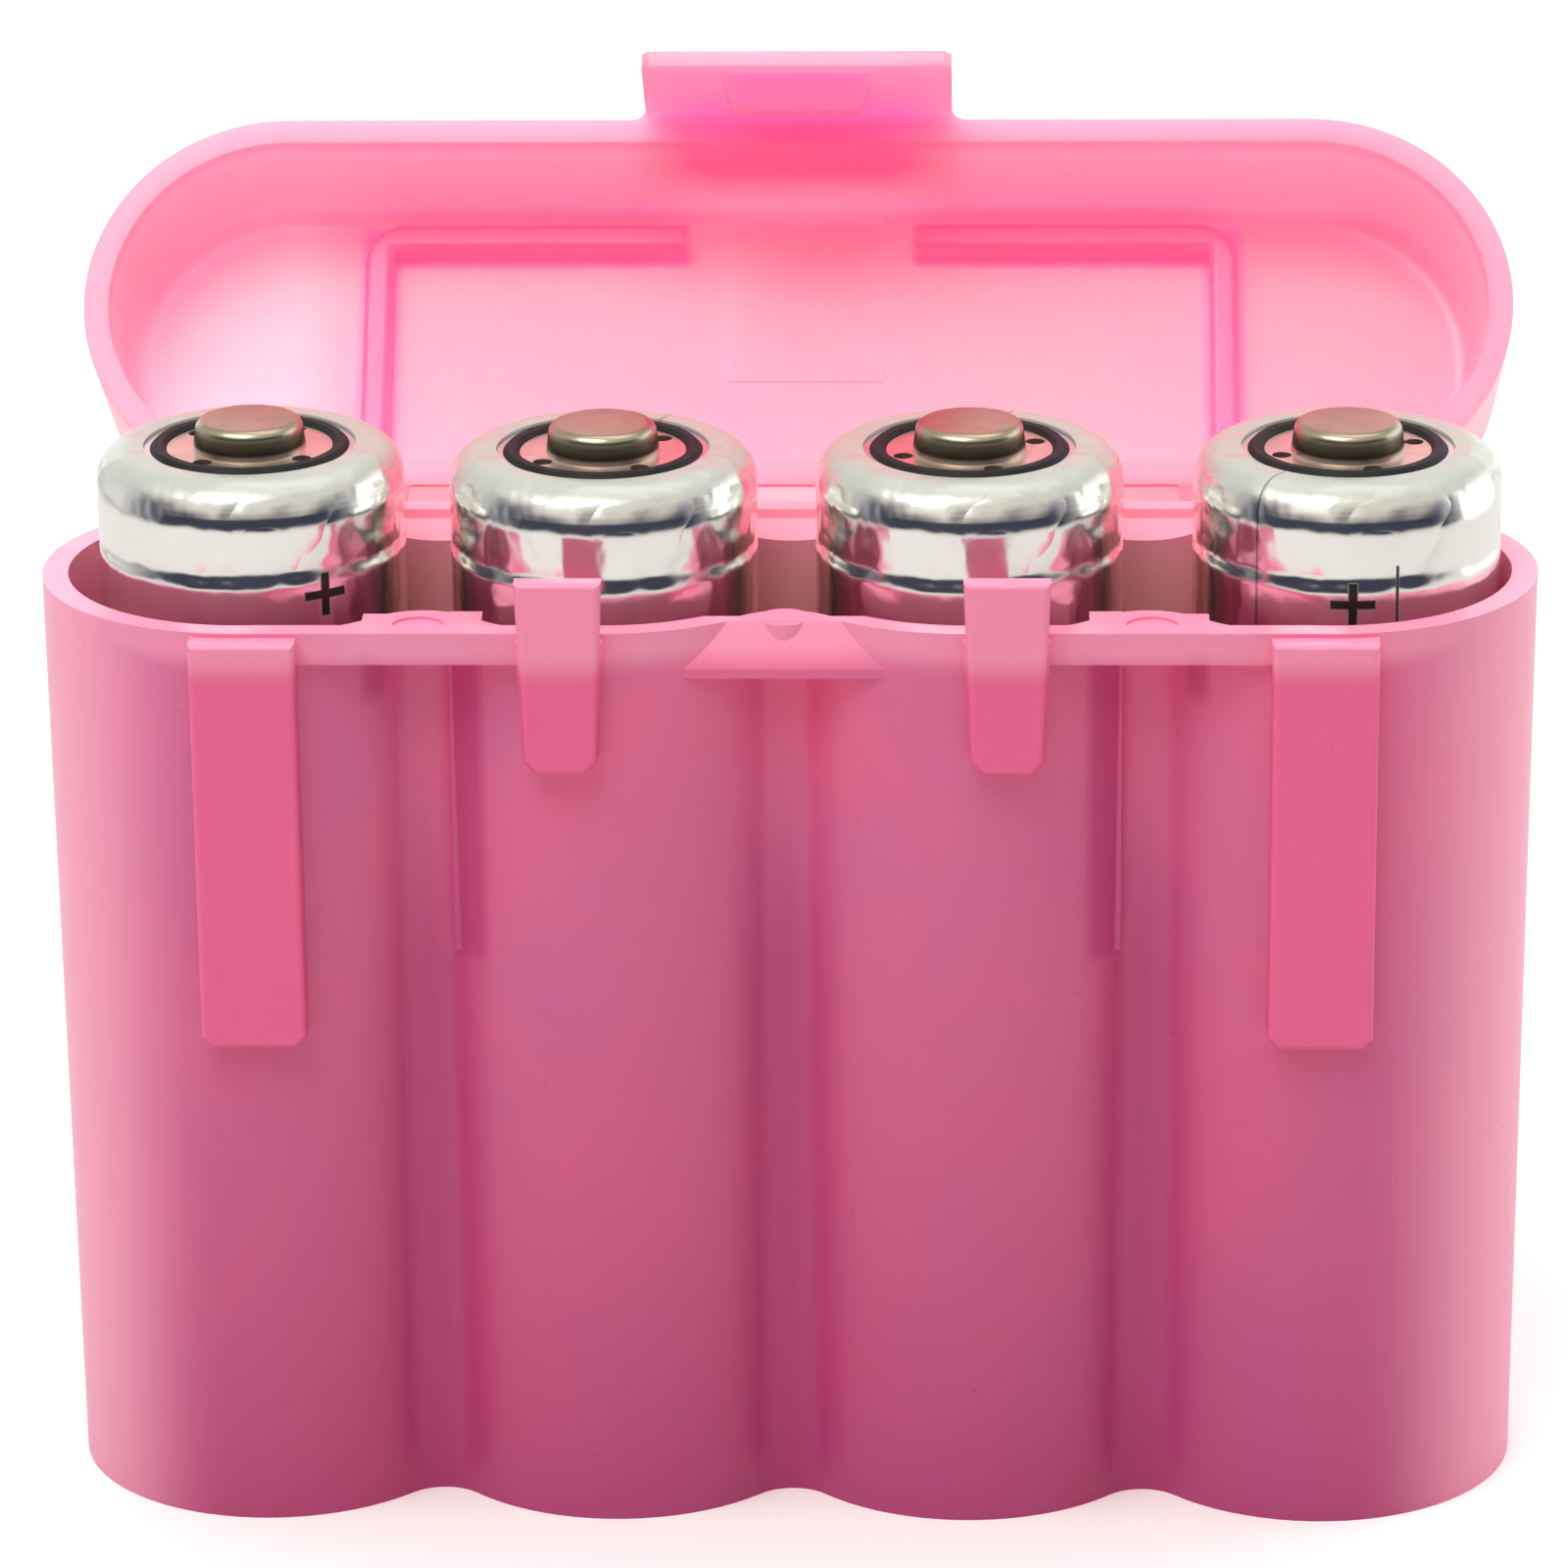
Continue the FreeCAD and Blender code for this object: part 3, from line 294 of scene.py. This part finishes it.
def axes_of(tree, coords):
    split = tree.nodes.new("ShaderNodeSeparateXYZ")
    tree.links.new(coords, split.inputs[0])
    return split.outputs[0], split.outputs[1], split.outputs[2]


def mixed_colour(tree, factor, first, second):
    """Colour that goes from first to second with a factor; both may be sockets or plain colours."""
    node = tree.nodes.new("ShaderNodeMix")
    node.data_type = "RGBA"
    tree.links.new(factor, node.inputs[0])
    for slot, source in ((6, first), (7, second)):
        if isinstance(source, tuple):
            node.inputs[slot].default_value = (*source, 1)
        else:
            tree.links.new(source, node.inputs[slot])
    return node.outputs[2]


print("helpers for masks:", [helper.__name__ for helper in (soft_box, eased, past, both, either)])

# %% [markdown]
# All the plastic shares one moulded surface: slow clouds of tint left by the flow of the melt, and a fine grain
# that breaks up the gloss.

# %% Moulded surface, shared by all the plastic
def moulding_group():
    """Slow clouds of tint from the flow of the melt, and a fine grain for gloss and bump."""
    group = bpy.data.node_groups.new("moulding", "ShaderNodeTree")
    face = group.interface
    for name, start in (("Flow Scale", 70.0), ("Grain Scale", 2600.0), ("Roughness", 0.3)):
        socket = face.new_socket(name, in_out="INPUT", socket_type="NodeSocketFloat")
        socket.default_value = start
    for name in ("Flow", "Height", "Roughness"):
        face.new_socket(name, in_out="OUTPUT", socket_type="NodeSocketFloat")
    given = group.nodes.new("NodeGroupInput")
    out = group.nodes.new("NodeGroupOutput")
    coords = group.nodes.new("ShaderNodeTexCoord").outputs["Object"]
    flow = group.nodes.new("ShaderNodeTexNoise")
    node_input(flow, "Detail", 3.0)
    node_input(flow, "Distortion", 0.6)
    group.links.new(coords, flow.inputs["Vector"])
    group.links.new(given.outputs["Flow Scale"], flow.inputs["Scale"])
    spread = group.nodes.new("ShaderNodeMapRange")
    group.links.new(flow.outputs["Fac"], spread.inputs["Value"])
    node_input(spread, "From Min", 0.35)
    node_input(spread, "From Max", 0.65)
    group.links.new(spread.outputs[0], out.inputs["Flow"])
    grain = group.nodes.new("ShaderNodeTexNoise")
    node_input(grain, "Detail", 4.0)
    group.links.new(coords, grain.inputs["Vector"])
    group.links.new(given.outputs["Grain Scale"], grain.inputs["Scale"])
    group.links.new(grain.outputs["Fac"], out.inputs["Height"])
    shift = scaled(group, math_node(group, "SUBTRACT", grain.outputs["Fac"], 0.5), 0.25)
    rough = math_node(group, "ADD", given.outputs["Roughness"], shift, clamp=True)
    group.links.new(rough, out.inputs["Roughness"])
    return group


MOULDING = moulding_group()
THROUGH = (0.80, 0.30, 0.42)
GLOSS, CLOUD_SHARE, PLASTIC_IOR = 0.33, 0.6, 1.49
REACH, REACH_BY_COLOUR = 0.004, (1.0, 0.50, 0.70)
print("shared surface:", MOULDING.name)


def plastic_material(name, paint, soft_share=0.0):
    """Polypropylene. paint makes its colour from the place; soft_share of the light scatters inside."""
    material, tree = new_material(name)
    coords = tree.nodes.new("ShaderNodeTexCoord").outputs["Object"]
    surface = tree.nodes.new("ShaderNodeGroup")
    surface.node_tree = MOULDING
    node_input(surface, "Roughness", GLOSS)
    shader = tree.nodes.new("ShaderNodeBsdfPrincipled")
    cloud = scaled(tree, surface.outputs["Flow"], CLOUD_SHARE)
    tree.links.new(paint(tree, coords, cloud), shader.inputs["Base Color"])
    tree.links.new(surface.outputs["Roughness"], shader.inputs["Roughness"])
    node_input(shader, "IOR", PLASTIC_IOR)
    shader.subsurface_method = "BURLEY"
    node_input(shader, "Subsurface Weight", soft_share)
    node_input(shader, "Subsurface Radius", REACH_BY_COLOUR)
    node_input(shader, "Subsurface Scale", REACH)
    bump_up(tree, shader, surface.outputs["Height"], 0.08, 0.00002)
    through = tree.nodes.new("ShaderNodeBsdfTransparent")
    node_input(through, "Color", (*THROUGH, 1))
    rays = tree.nodes.new("ShaderNodeLightPath")
    choose = tree.nodes.new("ShaderNodeMixShader")
    tree.links.new(rays.outputs["Is Shadow Ray"], choose.inputs[0])
    tree.links.new(shader.outputs[0], choose.inputs[1])
    tree.links.new(through.outputs[0], choose.inputs[2])
    to_surface(tree, choose)
    return material


# %% [markdown]
# The case gets its tint by place, read from the Object coordinates: the slim ribs inside the wall show through
# as dark bars, and the guards and long ribs that stand out from the front are a clear pink.

# %% Plastic of the case
CASE_PINK, CASE_LILAC, CASE_DEEP = (0.79, 0.130, 0.275), (0.60, 0.130, 0.33), (0.48, 0.042, 0.18)
CASE_LIT, RIB_PINK, REAR_BACKLIT = (1.0, 0.35, 0.51), (0.86, 0.115, 0.285), (1.0, 0.46, 0.48)
VALLEY_X, STAY_X, NIB_X, END_X = 16.65, 14.7, 18.85, 26.0
CROWN_Y, RIM_Z, SHADE_FADE_TOP = -10.15, 42.2, 44.0


def case_paint(tree, coords, cloud):
    """Deeper where the wall dips between the cells (thicker plastic and painted shade), painted shade towards the
    bottom, painted light at the ends, the rim and inside the rear wall, and a clear pink on what stands out from the
    front.
    """
    x, y, z = axes_of(tree, coords)
    side = math_node(tree, "ABSOLUTE", x)
    colour = mixed_colour(tree, cloud, CASE_PINK, CASE_LILAC)
    # Painted shade where the wall dips between the cells, added to the deeper tint of the thicker plastic there.
    valley = either(tree, soft_box(tree, side, 0.0, 1.6, 5.0), soft_box(tree, side, VALLEY_X, 1.6, 5.0))
    below = soft_box(tree, z, 0.0, 34.0, 14.0)
    valley_depth_and_shade = scaled(tree, eased(tree, both(tree, valley, below)), 0.9)
    colour = mixed_colour(tree, valley_depth_and_shade, colour, CASE_DEEP)
    # Painted shade: the case grows darker towards the bottom, away from the light above.
    low = math_node(tree, "SUBTRACT", 1.0, math_node(tree, "DIVIDE", z, SHADE_FADE_TOP * MM), clamp=True)
    low = math_node(tree, "POWER", low, 1.5)
    colour = mixed_colour(tree, scaled(tree, low, 0.8), colour, CASE_DEEP)
    front = soft_box(tree, y, -7.0, 5.5, 0.5)
    stays = both(tree, front, soft_box(tree, side, STAY_X, 0.75, 0.5), soft_box(tree, z, 35.5, 7.6, 0.6))
    nibs = both(tree, front, soft_box(tree, side, NIB_X, 0.5, 0.4), soft_box(tree, z, 42.0, 1.3, 0.9))
    colour = mixed_colour(tree, scaled(tree, either(tree, stays, nibs), 0.6), colour, CASE_DEEP)
    proud = math_node(tree, "SUBTRACT", CROWN_Y * MM, y)
    out_of_front = math_node(tree, "MULTIPLY_ADD", proud, 4000.0, 0.5, clamp=True)
    colour = mixed_colour(tree, out_of_front, colour, RIB_PINK)
    # Painted light: the ends and the rim are made pale, as if lit from the sides and from above.
    ends = past(tree, side, END_X * MM, 120.0)
    rim = past(tree, z, RIM_Z * MM, 600.0)
    # Painted light: the inside of the rear wall glows rose, as if lit from behind through the wall.
    rear = both(tree, soft_box(tree, y, 10.5, 7.5, 1.0), soft_box(tree, z, 42.0, 5.5, 3.0))
    colour = mixed_colour(tree, scaled(tree, rear, 0.9), colour, REAR_BACKLIT)
    light = either(tree, scaled(tree, ends, 0.9), scaled(tree, rim, 0.65))
    return mixed_colour(tree, light, colour, CASE_LIT)


dress("case_body", plastic_material("case_plastic", case_paint))
print("case colours:", CASE_PINK, CASE_LILAC, CASE_DEEP)

# %% [markdown]
# The lid is painted as if it were closed: the coordinates are swung back about the hinge, so the places below
# are those of the closed lid. Its ribs, the latch's root and its lug are thicker plastic and look deeper, and the
# root's deep tint also holds painted shade.
# Painted light makes its walls, its left corner and its front under the roof paler, as if lit through from behind.

# %% Plastic of the lid
HINGE_POINT = Vector(frame["record"]["behaviour"]["joints"][0]["pos_m"])
OPEN_ANGLE = math.radians(130.8)
LID_PINK, LID_LILAC, LID_DEEP = (1.0, 0.37, 0.45), (1.0, 0.32, 0.47), (1.0, 0.20, 0.44)
LID_WALL_LIT, LID_RIM, ROOT_DEEP = (1.0, 0.52, 0.58), (1.0, 0.29, 0.43), (1.0, 0.21, 0.47)
CORNER_LIT, FILM_PINK = (1.0, 0.78, 0.82), (1.0, 0.45, 0.58)
LEFT_X, LEG_X, FRONT_Y, BAR_Y, STRAP_Y = -21.0, 20.9, -7.0, -6.3, -8.5
ROOF_Z, SKIRT_Z, ROOT_Z, LUG_Z = 52.3, 46.2, 46.0, 41.0


def lid_paint(tree, coords, cloud):
    """Deep at the L-shaped ribs, the latch's root (also painted shade) and its lug, with painted light on the walls,
    the left corner and the front; placed on the closed lid and swung open.
    """
    closed = tree.nodes.new("ShaderNodeMapping")
    back = Matrix.Rotation(OPEN_ANGLE, 3, "X")
    node_input(closed, "Rotation", (OPEN_ANGLE, 0, 0))
    node_input(closed, "Location", HINGE_POINT - back @ HINGE_POINT)
    tree.links.new(coords, closed.inputs["Vector"])
    x, y, z = axes_of(tree, closed.outputs[0])
    side = math_node(tree, "ABSOLUTE", x)
    bar = both(tree, soft_box(tree, side, 13.6, 8.0, 0.5), soft_box(tree, y, BAR_Y, 0.9, 0.6))
    leg = both(tree, soft_box(tree, side, LEG_X, 0.9, 0.6), soft_box(tree, y, -1.2, 5.8, 0.5))
    under_roof = soft_box(tree, z, 50.0, 2.5, 0.5)
    ribs = both(tree, either(tree, bar, leg), under_roof)
    strap = soft_box(tree, y, STRAP_Y, 1.9, 0.3)
    root = both(tree, soft_box(tree, x, 0.0, 6.0, 3.4), strap, soft_box(tree, z, ROOT_Z, 3.0, 3.5))
    lug = both(tree, soft_box(tree, x, 0.0, 3.3, 0.8), strap, soft_box(tree, z, LUG_Z, 0.8, 0.5))
    colour = mixed_colour(tree, cloud, LID_PINK, LID_LILAC)
    # Painted light: the left corner and the front under the roof are paler, as if lit through from behind.
    left = past(tree, LEFT_X * MM, x, 200.0)
    front = past(tree, FRONT_Y * MM, y, 500.0)
    lit_corners = either(tree, scaled(tree, left, 0.45), scaled(tree, front, 0.6))
    colour = mixed_colour(tree, both(tree, lit_corners, under_roof), colour, CORNER_LIT)
    # Painted light: the walls below the roof are paler, as if lit through from behind.
    wall = past(tree, ROOF_Z * MM, z, 500.0)
    colour = mixed_colour(tree, scaled(tree, wall, 0.9), colour, LID_WALL_LIT)
    rim = past(tree, SKIRT_Z * MM, z, 700.0)
    colour = mixed_colour(tree, rim, colour, LID_RIM)
    colour = mixed_colour(tree, ribs, colour, LID_DEEP)
    # The latch's root is deep from thicker plastic and from painted shade; the lug is deep from thicker plastic.
    deep = either(tree, scaled(tree, eased(tree, root), 0.9), scaled(tree, lug, 0.8))
    return mixed_colour(tree, deep, colour, ROOT_DEEP)


def film_paint(tree, coords, cloud):
    return mixed_colour(tree, cloud, FILM_PINK, LID_PINK)


dress("lid", plastic_material("lid_plastic", lid_paint, 1.0))
print("hinge point in mm:", [round(part / MM, 2) for part in HINGE_POINT])

# %% [markdown]
# The lid hangs on a film of the same plastic, a third of a millimetre thick, which bends in the real case when the
# lid moves.
# Here it is a strip of its own that runs from the case's rear edge to the lid's edge.
# A line of points across the hinge is pulled out sideways into a ribbon and then given its wall.

# %% Hinge film
FILM_LEFT, FILM_RIGHT, FILM_WALL = -18.55, 18.4, 0.3
CASE_EDGE, LID_EDGE = Vector((0, 9.87, 44.15)), Vector((0, 11.62, 44.72))
FILM_STEPS, FILM_SAG = 10, 0.22
bm = bmesh.new()
line = []
for step in range(FILM_STEPS + 1):
    share = step / FILM_STEPS
    spot = CASE_EDGE.lerp(LID_EDGE, share)
    spot.z -= FILM_SAG * math.sin(math.pi * share)
    line.append(bm.verts.new((FILM_LEFT * MM, spot.y * MM, spot.z * MM)))
edges = [bm.edges.new(pair) for pair in zip(line, line[1:])]
drawn = bmesh.ops.extrude_edge_only(bm, edges=edges)
moved = [item for item in drawn["geom"] if isinstance(item, bmesh.types.BMVert)]
bmesh.ops.translate(bm, verts=moved, vec=((FILM_RIGHT - FILM_LEFT) * MM, 0, 0))
bmesh.ops.recalc_face_normals(bm, faces=bm.faces)
bmesh.ops.solidify(bm, geom=bm.faces[:], thickness=FILM_WALL * MM)
bmesh.ops.recalc_face_normals(bm, faces=bm.faces)
film_mesh = bpy.data.meshes.new("hinge_film")
bm.to_mesh(film_mesh)
bm.free()
for polygon in film_mesh.polygons:
    polygon.use_smooth = True
film = new_object("hinge_film", film_mesh)
film_mesh.materials.append(plastic_material("film_plastic", film_paint))
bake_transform(film)
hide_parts("living_hinge")
print("film faces:", len(film_mesh.polygons))

# %% [markdown]
# Each cell is a nickel-plated steel can in a shrunk foil sleeve, with a black seal and a pressed cap on top.
# The sleeve is metallised film, so it mirrors the studio with small dents and waves, and a dark seam runs
# down it where the film overlaps. Its only print here is a plus sign and a plain bar, which any cell may have.

# %% Waves and print of the sleeves
def sleeve_group():
    """Masks on a sleeve whose axis is the z axis: ink of a plus sign and a bar, the seam, and the waves."""
    group = bpy.data.node_groups.new("sleeve", "ShaderNodeTree")
    face = group.interface
    face.new_socket("Vector", in_out="INPUT", socket_type="NodeSocketVector")
    for name in ("Plus Turn", "Bar Turn", "Seam Turn"):
        face.new_socket(name, in_out="INPUT", socket_type="NodeSocketFloat")
    for name in ("Ink", "Seam", "Shoulder", "Height"):
        face.new_socket(name, in_out="OUTPUT", socket_type="NodeSocketFloat")
    given = group.nodes.new("NodeGroupInput")
    out = group.nodes.new("NodeGroupOutput")
    x, y, z = axes_of(group, given.outputs["Vector"])
    turn = math_node(group, "ARCTAN2", x, scaled(group, y, -1.0))

    def along(name):
        """Length round the sleeve from a mark's middle, in metres."""
        gone = math_node(group, "SUBTRACT", turn, given.outputs[name])
        return scaled(group, gone, SLEEVE_RADIUS * MM)

    plus = along("Plus Turn")
    level = both(group, soft_box(group, plus, 0.0, 1.05, 0.08), soft_box(group, z, PLUS_HEIGHT, 0.22, 0.08))
    upright = both(group, soft_box(group, plus, 0.0, 0.22, 0.08), soft_box(group, z, PLUS_HEIGHT, 1.05, 0.08))
    bar = both(group, soft_box(group, along("Bar Turn"), 0.0, 0.07, 0.06), soft_box(group, z, BAR_HEIGHT, 2.0, 0.08))
    side = math_node(group, "SQRT", math_node(group, "ADD", scaled(group, x, x), scaled(group, y, y)))
    on_wall = soft_box(group, side, SLEEVE_RADIUS, 0.12, 0.1)
    group.links.new(both(group, either(group, level, upright, bar), on_wall), out.inputs["Ink"])
    group.links.new(soft_box(group, along("Seam Turn"), 0.0, 0.05, 0.1), out.inputs["Seam"])
    over = math_node(group, "SUBTRACT", z, SHOULDER_HEIGHT * MM)
    gathered = math_node(group, "MULTIPLY_ADD", over, 1400.0, 0.5, clamp=True)
    group.links.new(gathered, out.inputs["Shoulder"])
    stretch = group.nodes.new("ShaderNodeMapping")
    node_input(stretch, "Scale", (1.0, 1.0, 0.6))
    group.links.new(given.outputs["Vector"], stretch.inputs["Vector"])
    waves = noise(group, stretch.outputs[0], 230.0, 3.0, 0.45)
    patchy = math_node(group, "MULTIPLY_ADD", waves, 4.0, -1.4, clamp=True)
    step = math_node(group, "DIVIDE", math_node(group, "SUBTRACT", z, RING_HEIGHT * MM), 1.1 * MM, clamp=True)
    ring = both(group, eased(group, step), patchy)
    lean = math_node(group, "DIVIDE", math_node(group, "SUBTRACT", z, NECK_HEIGHT * MM), 1.7 * MM, clamp=True)
    neck = scaled(group, eased(group, lean), NECK_MM)
    dents = math_node(group, "ADD", scaled(group, ring, RING_MM), neck)
    high = math_node(group, "SUBTRACT", scaled(group, waves, WAVE_MM), dents)
    group.links.new(high, out.inputs["Height"])
    return group


SLEEVE_RADIUS, PLUS_HEIGHT, BAR_HEIGHT = 7.15, 44.8, 44.6
RING_HEIGHT, NECK_HEIGHT, SHOULDER_HEIGHT = 45.15, 47.85, 49.5
WAVE_MM, RING_MM, NECK_MM = 0.42, 0.26, 0.32
FOIL, INK = (0.84, 0.82, 0.78), (0.012, 0.01, 0.012)
GATHERED, FOIL_ROUGHNESS = (0.50, 0.52, 0.46), 0.14
SLEEVE = sleeve_group()
print("shared sleeve:", SLEEVE.name)


def sleeve_material(name, middle, turns):
    """Metallised film with its print; middle is the cell's axis, turns are the marks' angles from the front."""
    material, tree = new_material(name)
    coords = tree.nodes.new("ShaderNodeTexCoord").outputs["Object"]
    centred = tree.nodes.new("ShaderNodeMapping")
    node_input(centred, "Location", (-middle.x, -middle.y, 0))
    tree.links.new(coords, centred.inputs["Vector"])
    marks = tree.nodes.new("ShaderNodeGroup")
    marks.node_tree = SLEEVE
    tree.links.new(centred.outputs[0], marks.inputs["Vector"])
    for socket, degrees in zip(("Plus Turn", "Bar Turn", "Seam Turn"), turns):
        node_input(marks, socket, math.radians(degrees))
    shader = tree.nodes.new("ShaderNodeBsdfPrincipled")
    dull = noise(tree, coords, 400.0, 4.0)
    bright = mixed_colour(tree, dull, FOIL, tuple(0.93 * part for part in FOIL))
    bright = mixed_colour(tree, marks.outputs["Shoulder"], bright, GATHERED)
    dark = either(tree, marks.outputs["Ink"], scaled(tree, marks.outputs["Seam"], 0.75))
    tree.links.new(mixed_colour(tree, dark, bright, INK), shader.inputs["Base Color"])
    matt = scaled(tree, marks.outputs["Shoulder"], 0.65)
    metal = math_node(tree, "SUBTRACT", math_node(tree, "SUBTRACT", 1.0, marks.outputs["Ink"]), matt, clamp=True)
    tree.links.new(metal, shader.inputs["Metallic"])
    rough = math_node(tree, "MULTIPLY_ADD", dull, 0.08, FOIL_ROUGHNESS)
    duller = scaled(tree, either(tree, marks.outputs["Ink"], marks.outputs["Shoulder"]), 0.4)
    tree.links.new(either(tree, rough, duller), shader.inputs["Roughness"])
    bump_up(tree, shader, marks.outputs["Height"], 1.0, MM)
    to_surface(tree, shader)
    return material


# %% [markdown]
# The nickel cap is bright on its plate. Up the button its tint follows the height: painted shade makes it nearly
# black where the button rises from it and dark down its side, a painted highlight lightens its top edge, and its top
# is brown, with clouds of wear over it all. The seal is matt black rubber, and the can is plain steel.
# The turns say where the plus sign, the bar and the seam of each cell stand, in degrees from the front.

# %% Metal and rubber of the cells
STEEL, WORN_TINT = (0.74, 0.73, 0.71), (0.16, 0.12, 0.09)


def metal_material(name, tint, roughness, grain):
    """Plain metal; tint is a colour, or height stops in mm where the colour changes up the piece."""
    material, tree = new_material(name)
    coords = tree.nodes.new("ShaderNodeTexCoord").outputs["Object"]
    shader = tree.nodes.new("ShaderNodeBsdfPrincipled")
    cloud = noise(tree, coords, grain, 4.0)
    if isinstance(tint, list):
        z = axes_of(tree, coords)[2]
        low, high = tint[0][0], tint[-1][0]
        risen = math_node(tree, "SUBTRACT", z, low * MM)
        share = math_node(tree, "DIVIDE", risen, (high - low) * MM, clamp=True)
        # On the cap these stops hold painted shade and a painted highlight, and wear lies over them in clouds.
        painted_light_by_height = ramp_node(tree, share, [((at - low) / (high - low), colour) for at, colour in tint])
        metal_colour = mixed_colour(tree, scaled(tree, cloud, 0.5), painted_light_by_height, WORN_TINT)
    else:
        metal_colour = mixed_colour(tree, cloud, tint, tuple(0.8 * part for part in tint))
    tree.links.new(metal_colour, shader.inputs["Base Color"])
    node_input(shader, "Metallic", 0.95)
    rough = math_node(tree, "MULTIPLY_ADD", cloud, 0.12, roughness - 0.06)
    tree.links.new(rough, shader.inputs["Roughness"])
    bump_up(tree, shader, cloud, 0.1, 0.00003)
    to_surface(tree, shader)
    return material


def rubber_material():
    material, tree = new_material("black_seal")
    coords = tree.nodes.new("ShaderNodeTexCoord").outputs["Object"]
    shader = tree.nodes.new("ShaderNodeBsdfPrincipled")
    shade = ramp_node(tree, noise(tree, coords, 900.0, 4.0), [(0.3, 0.003), (0.7, 0.012)])
    tree.links.new(shade, shader.inputs["Base Color"])
    node_input(shader, "Roughness", 0.6)
    node_input(shader, "Specular IOR Level", 0.25)
    to_surface(tree, shader)
    return material


steel = metal_material("can_steel", STEEL, 0.3, 400.0)
# Painted shade at the button's foot and down its side, and a painted highlight on its top edge.
PLATE_TINT, SHADE_TINT, WALL_SHADE_TINT = (0.85, 0.70, 0.60), (0.06, 0.045, 0.025), (0.14, 0.115, 0.07)
EDGE_HIGHLIGHT_TINT, TOP_TINT = (0.50, 0.46, 0.34), (0.40, 0.30, 0.20)
NICKEL_STOPS = [(49.6, PLATE_TINT), (50.2, PLATE_TINT), (50.35, SHADE_TINT), (50.85, WALL_SHADE_TINT),
                (51.2, EDGE_HIGHLIGHT_TINT), (51.38, TOP_TINT), (51.6, TOP_TINT)]
nickel = metal_material("cap_nickel", NICKEL_STOPS, 0.3, 700.0)
seal = rubber_material()
MARK_TURNS = {1: (33, 180, 200), 2: (120, 180, 150), 3: (-140, 180, 160), 4: (0, 16.5, -37.5)}
for cell, turns in MARK_TURNS.items():
    low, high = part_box(f"cell_{cell}_sleeve")
    dress(f"cell_{cell}_sleeve", sleeve_material(f"foil_sleeve_{cell}", (low + high) / 2, turns))
    dress(f"cell_{cell}_can", steel)
    dress(f"cell_{cell}_cap", nickel)
    dress(f"cell_{cell}_seal", seal)
print("cells dressed:", len(MARK_TURNS))
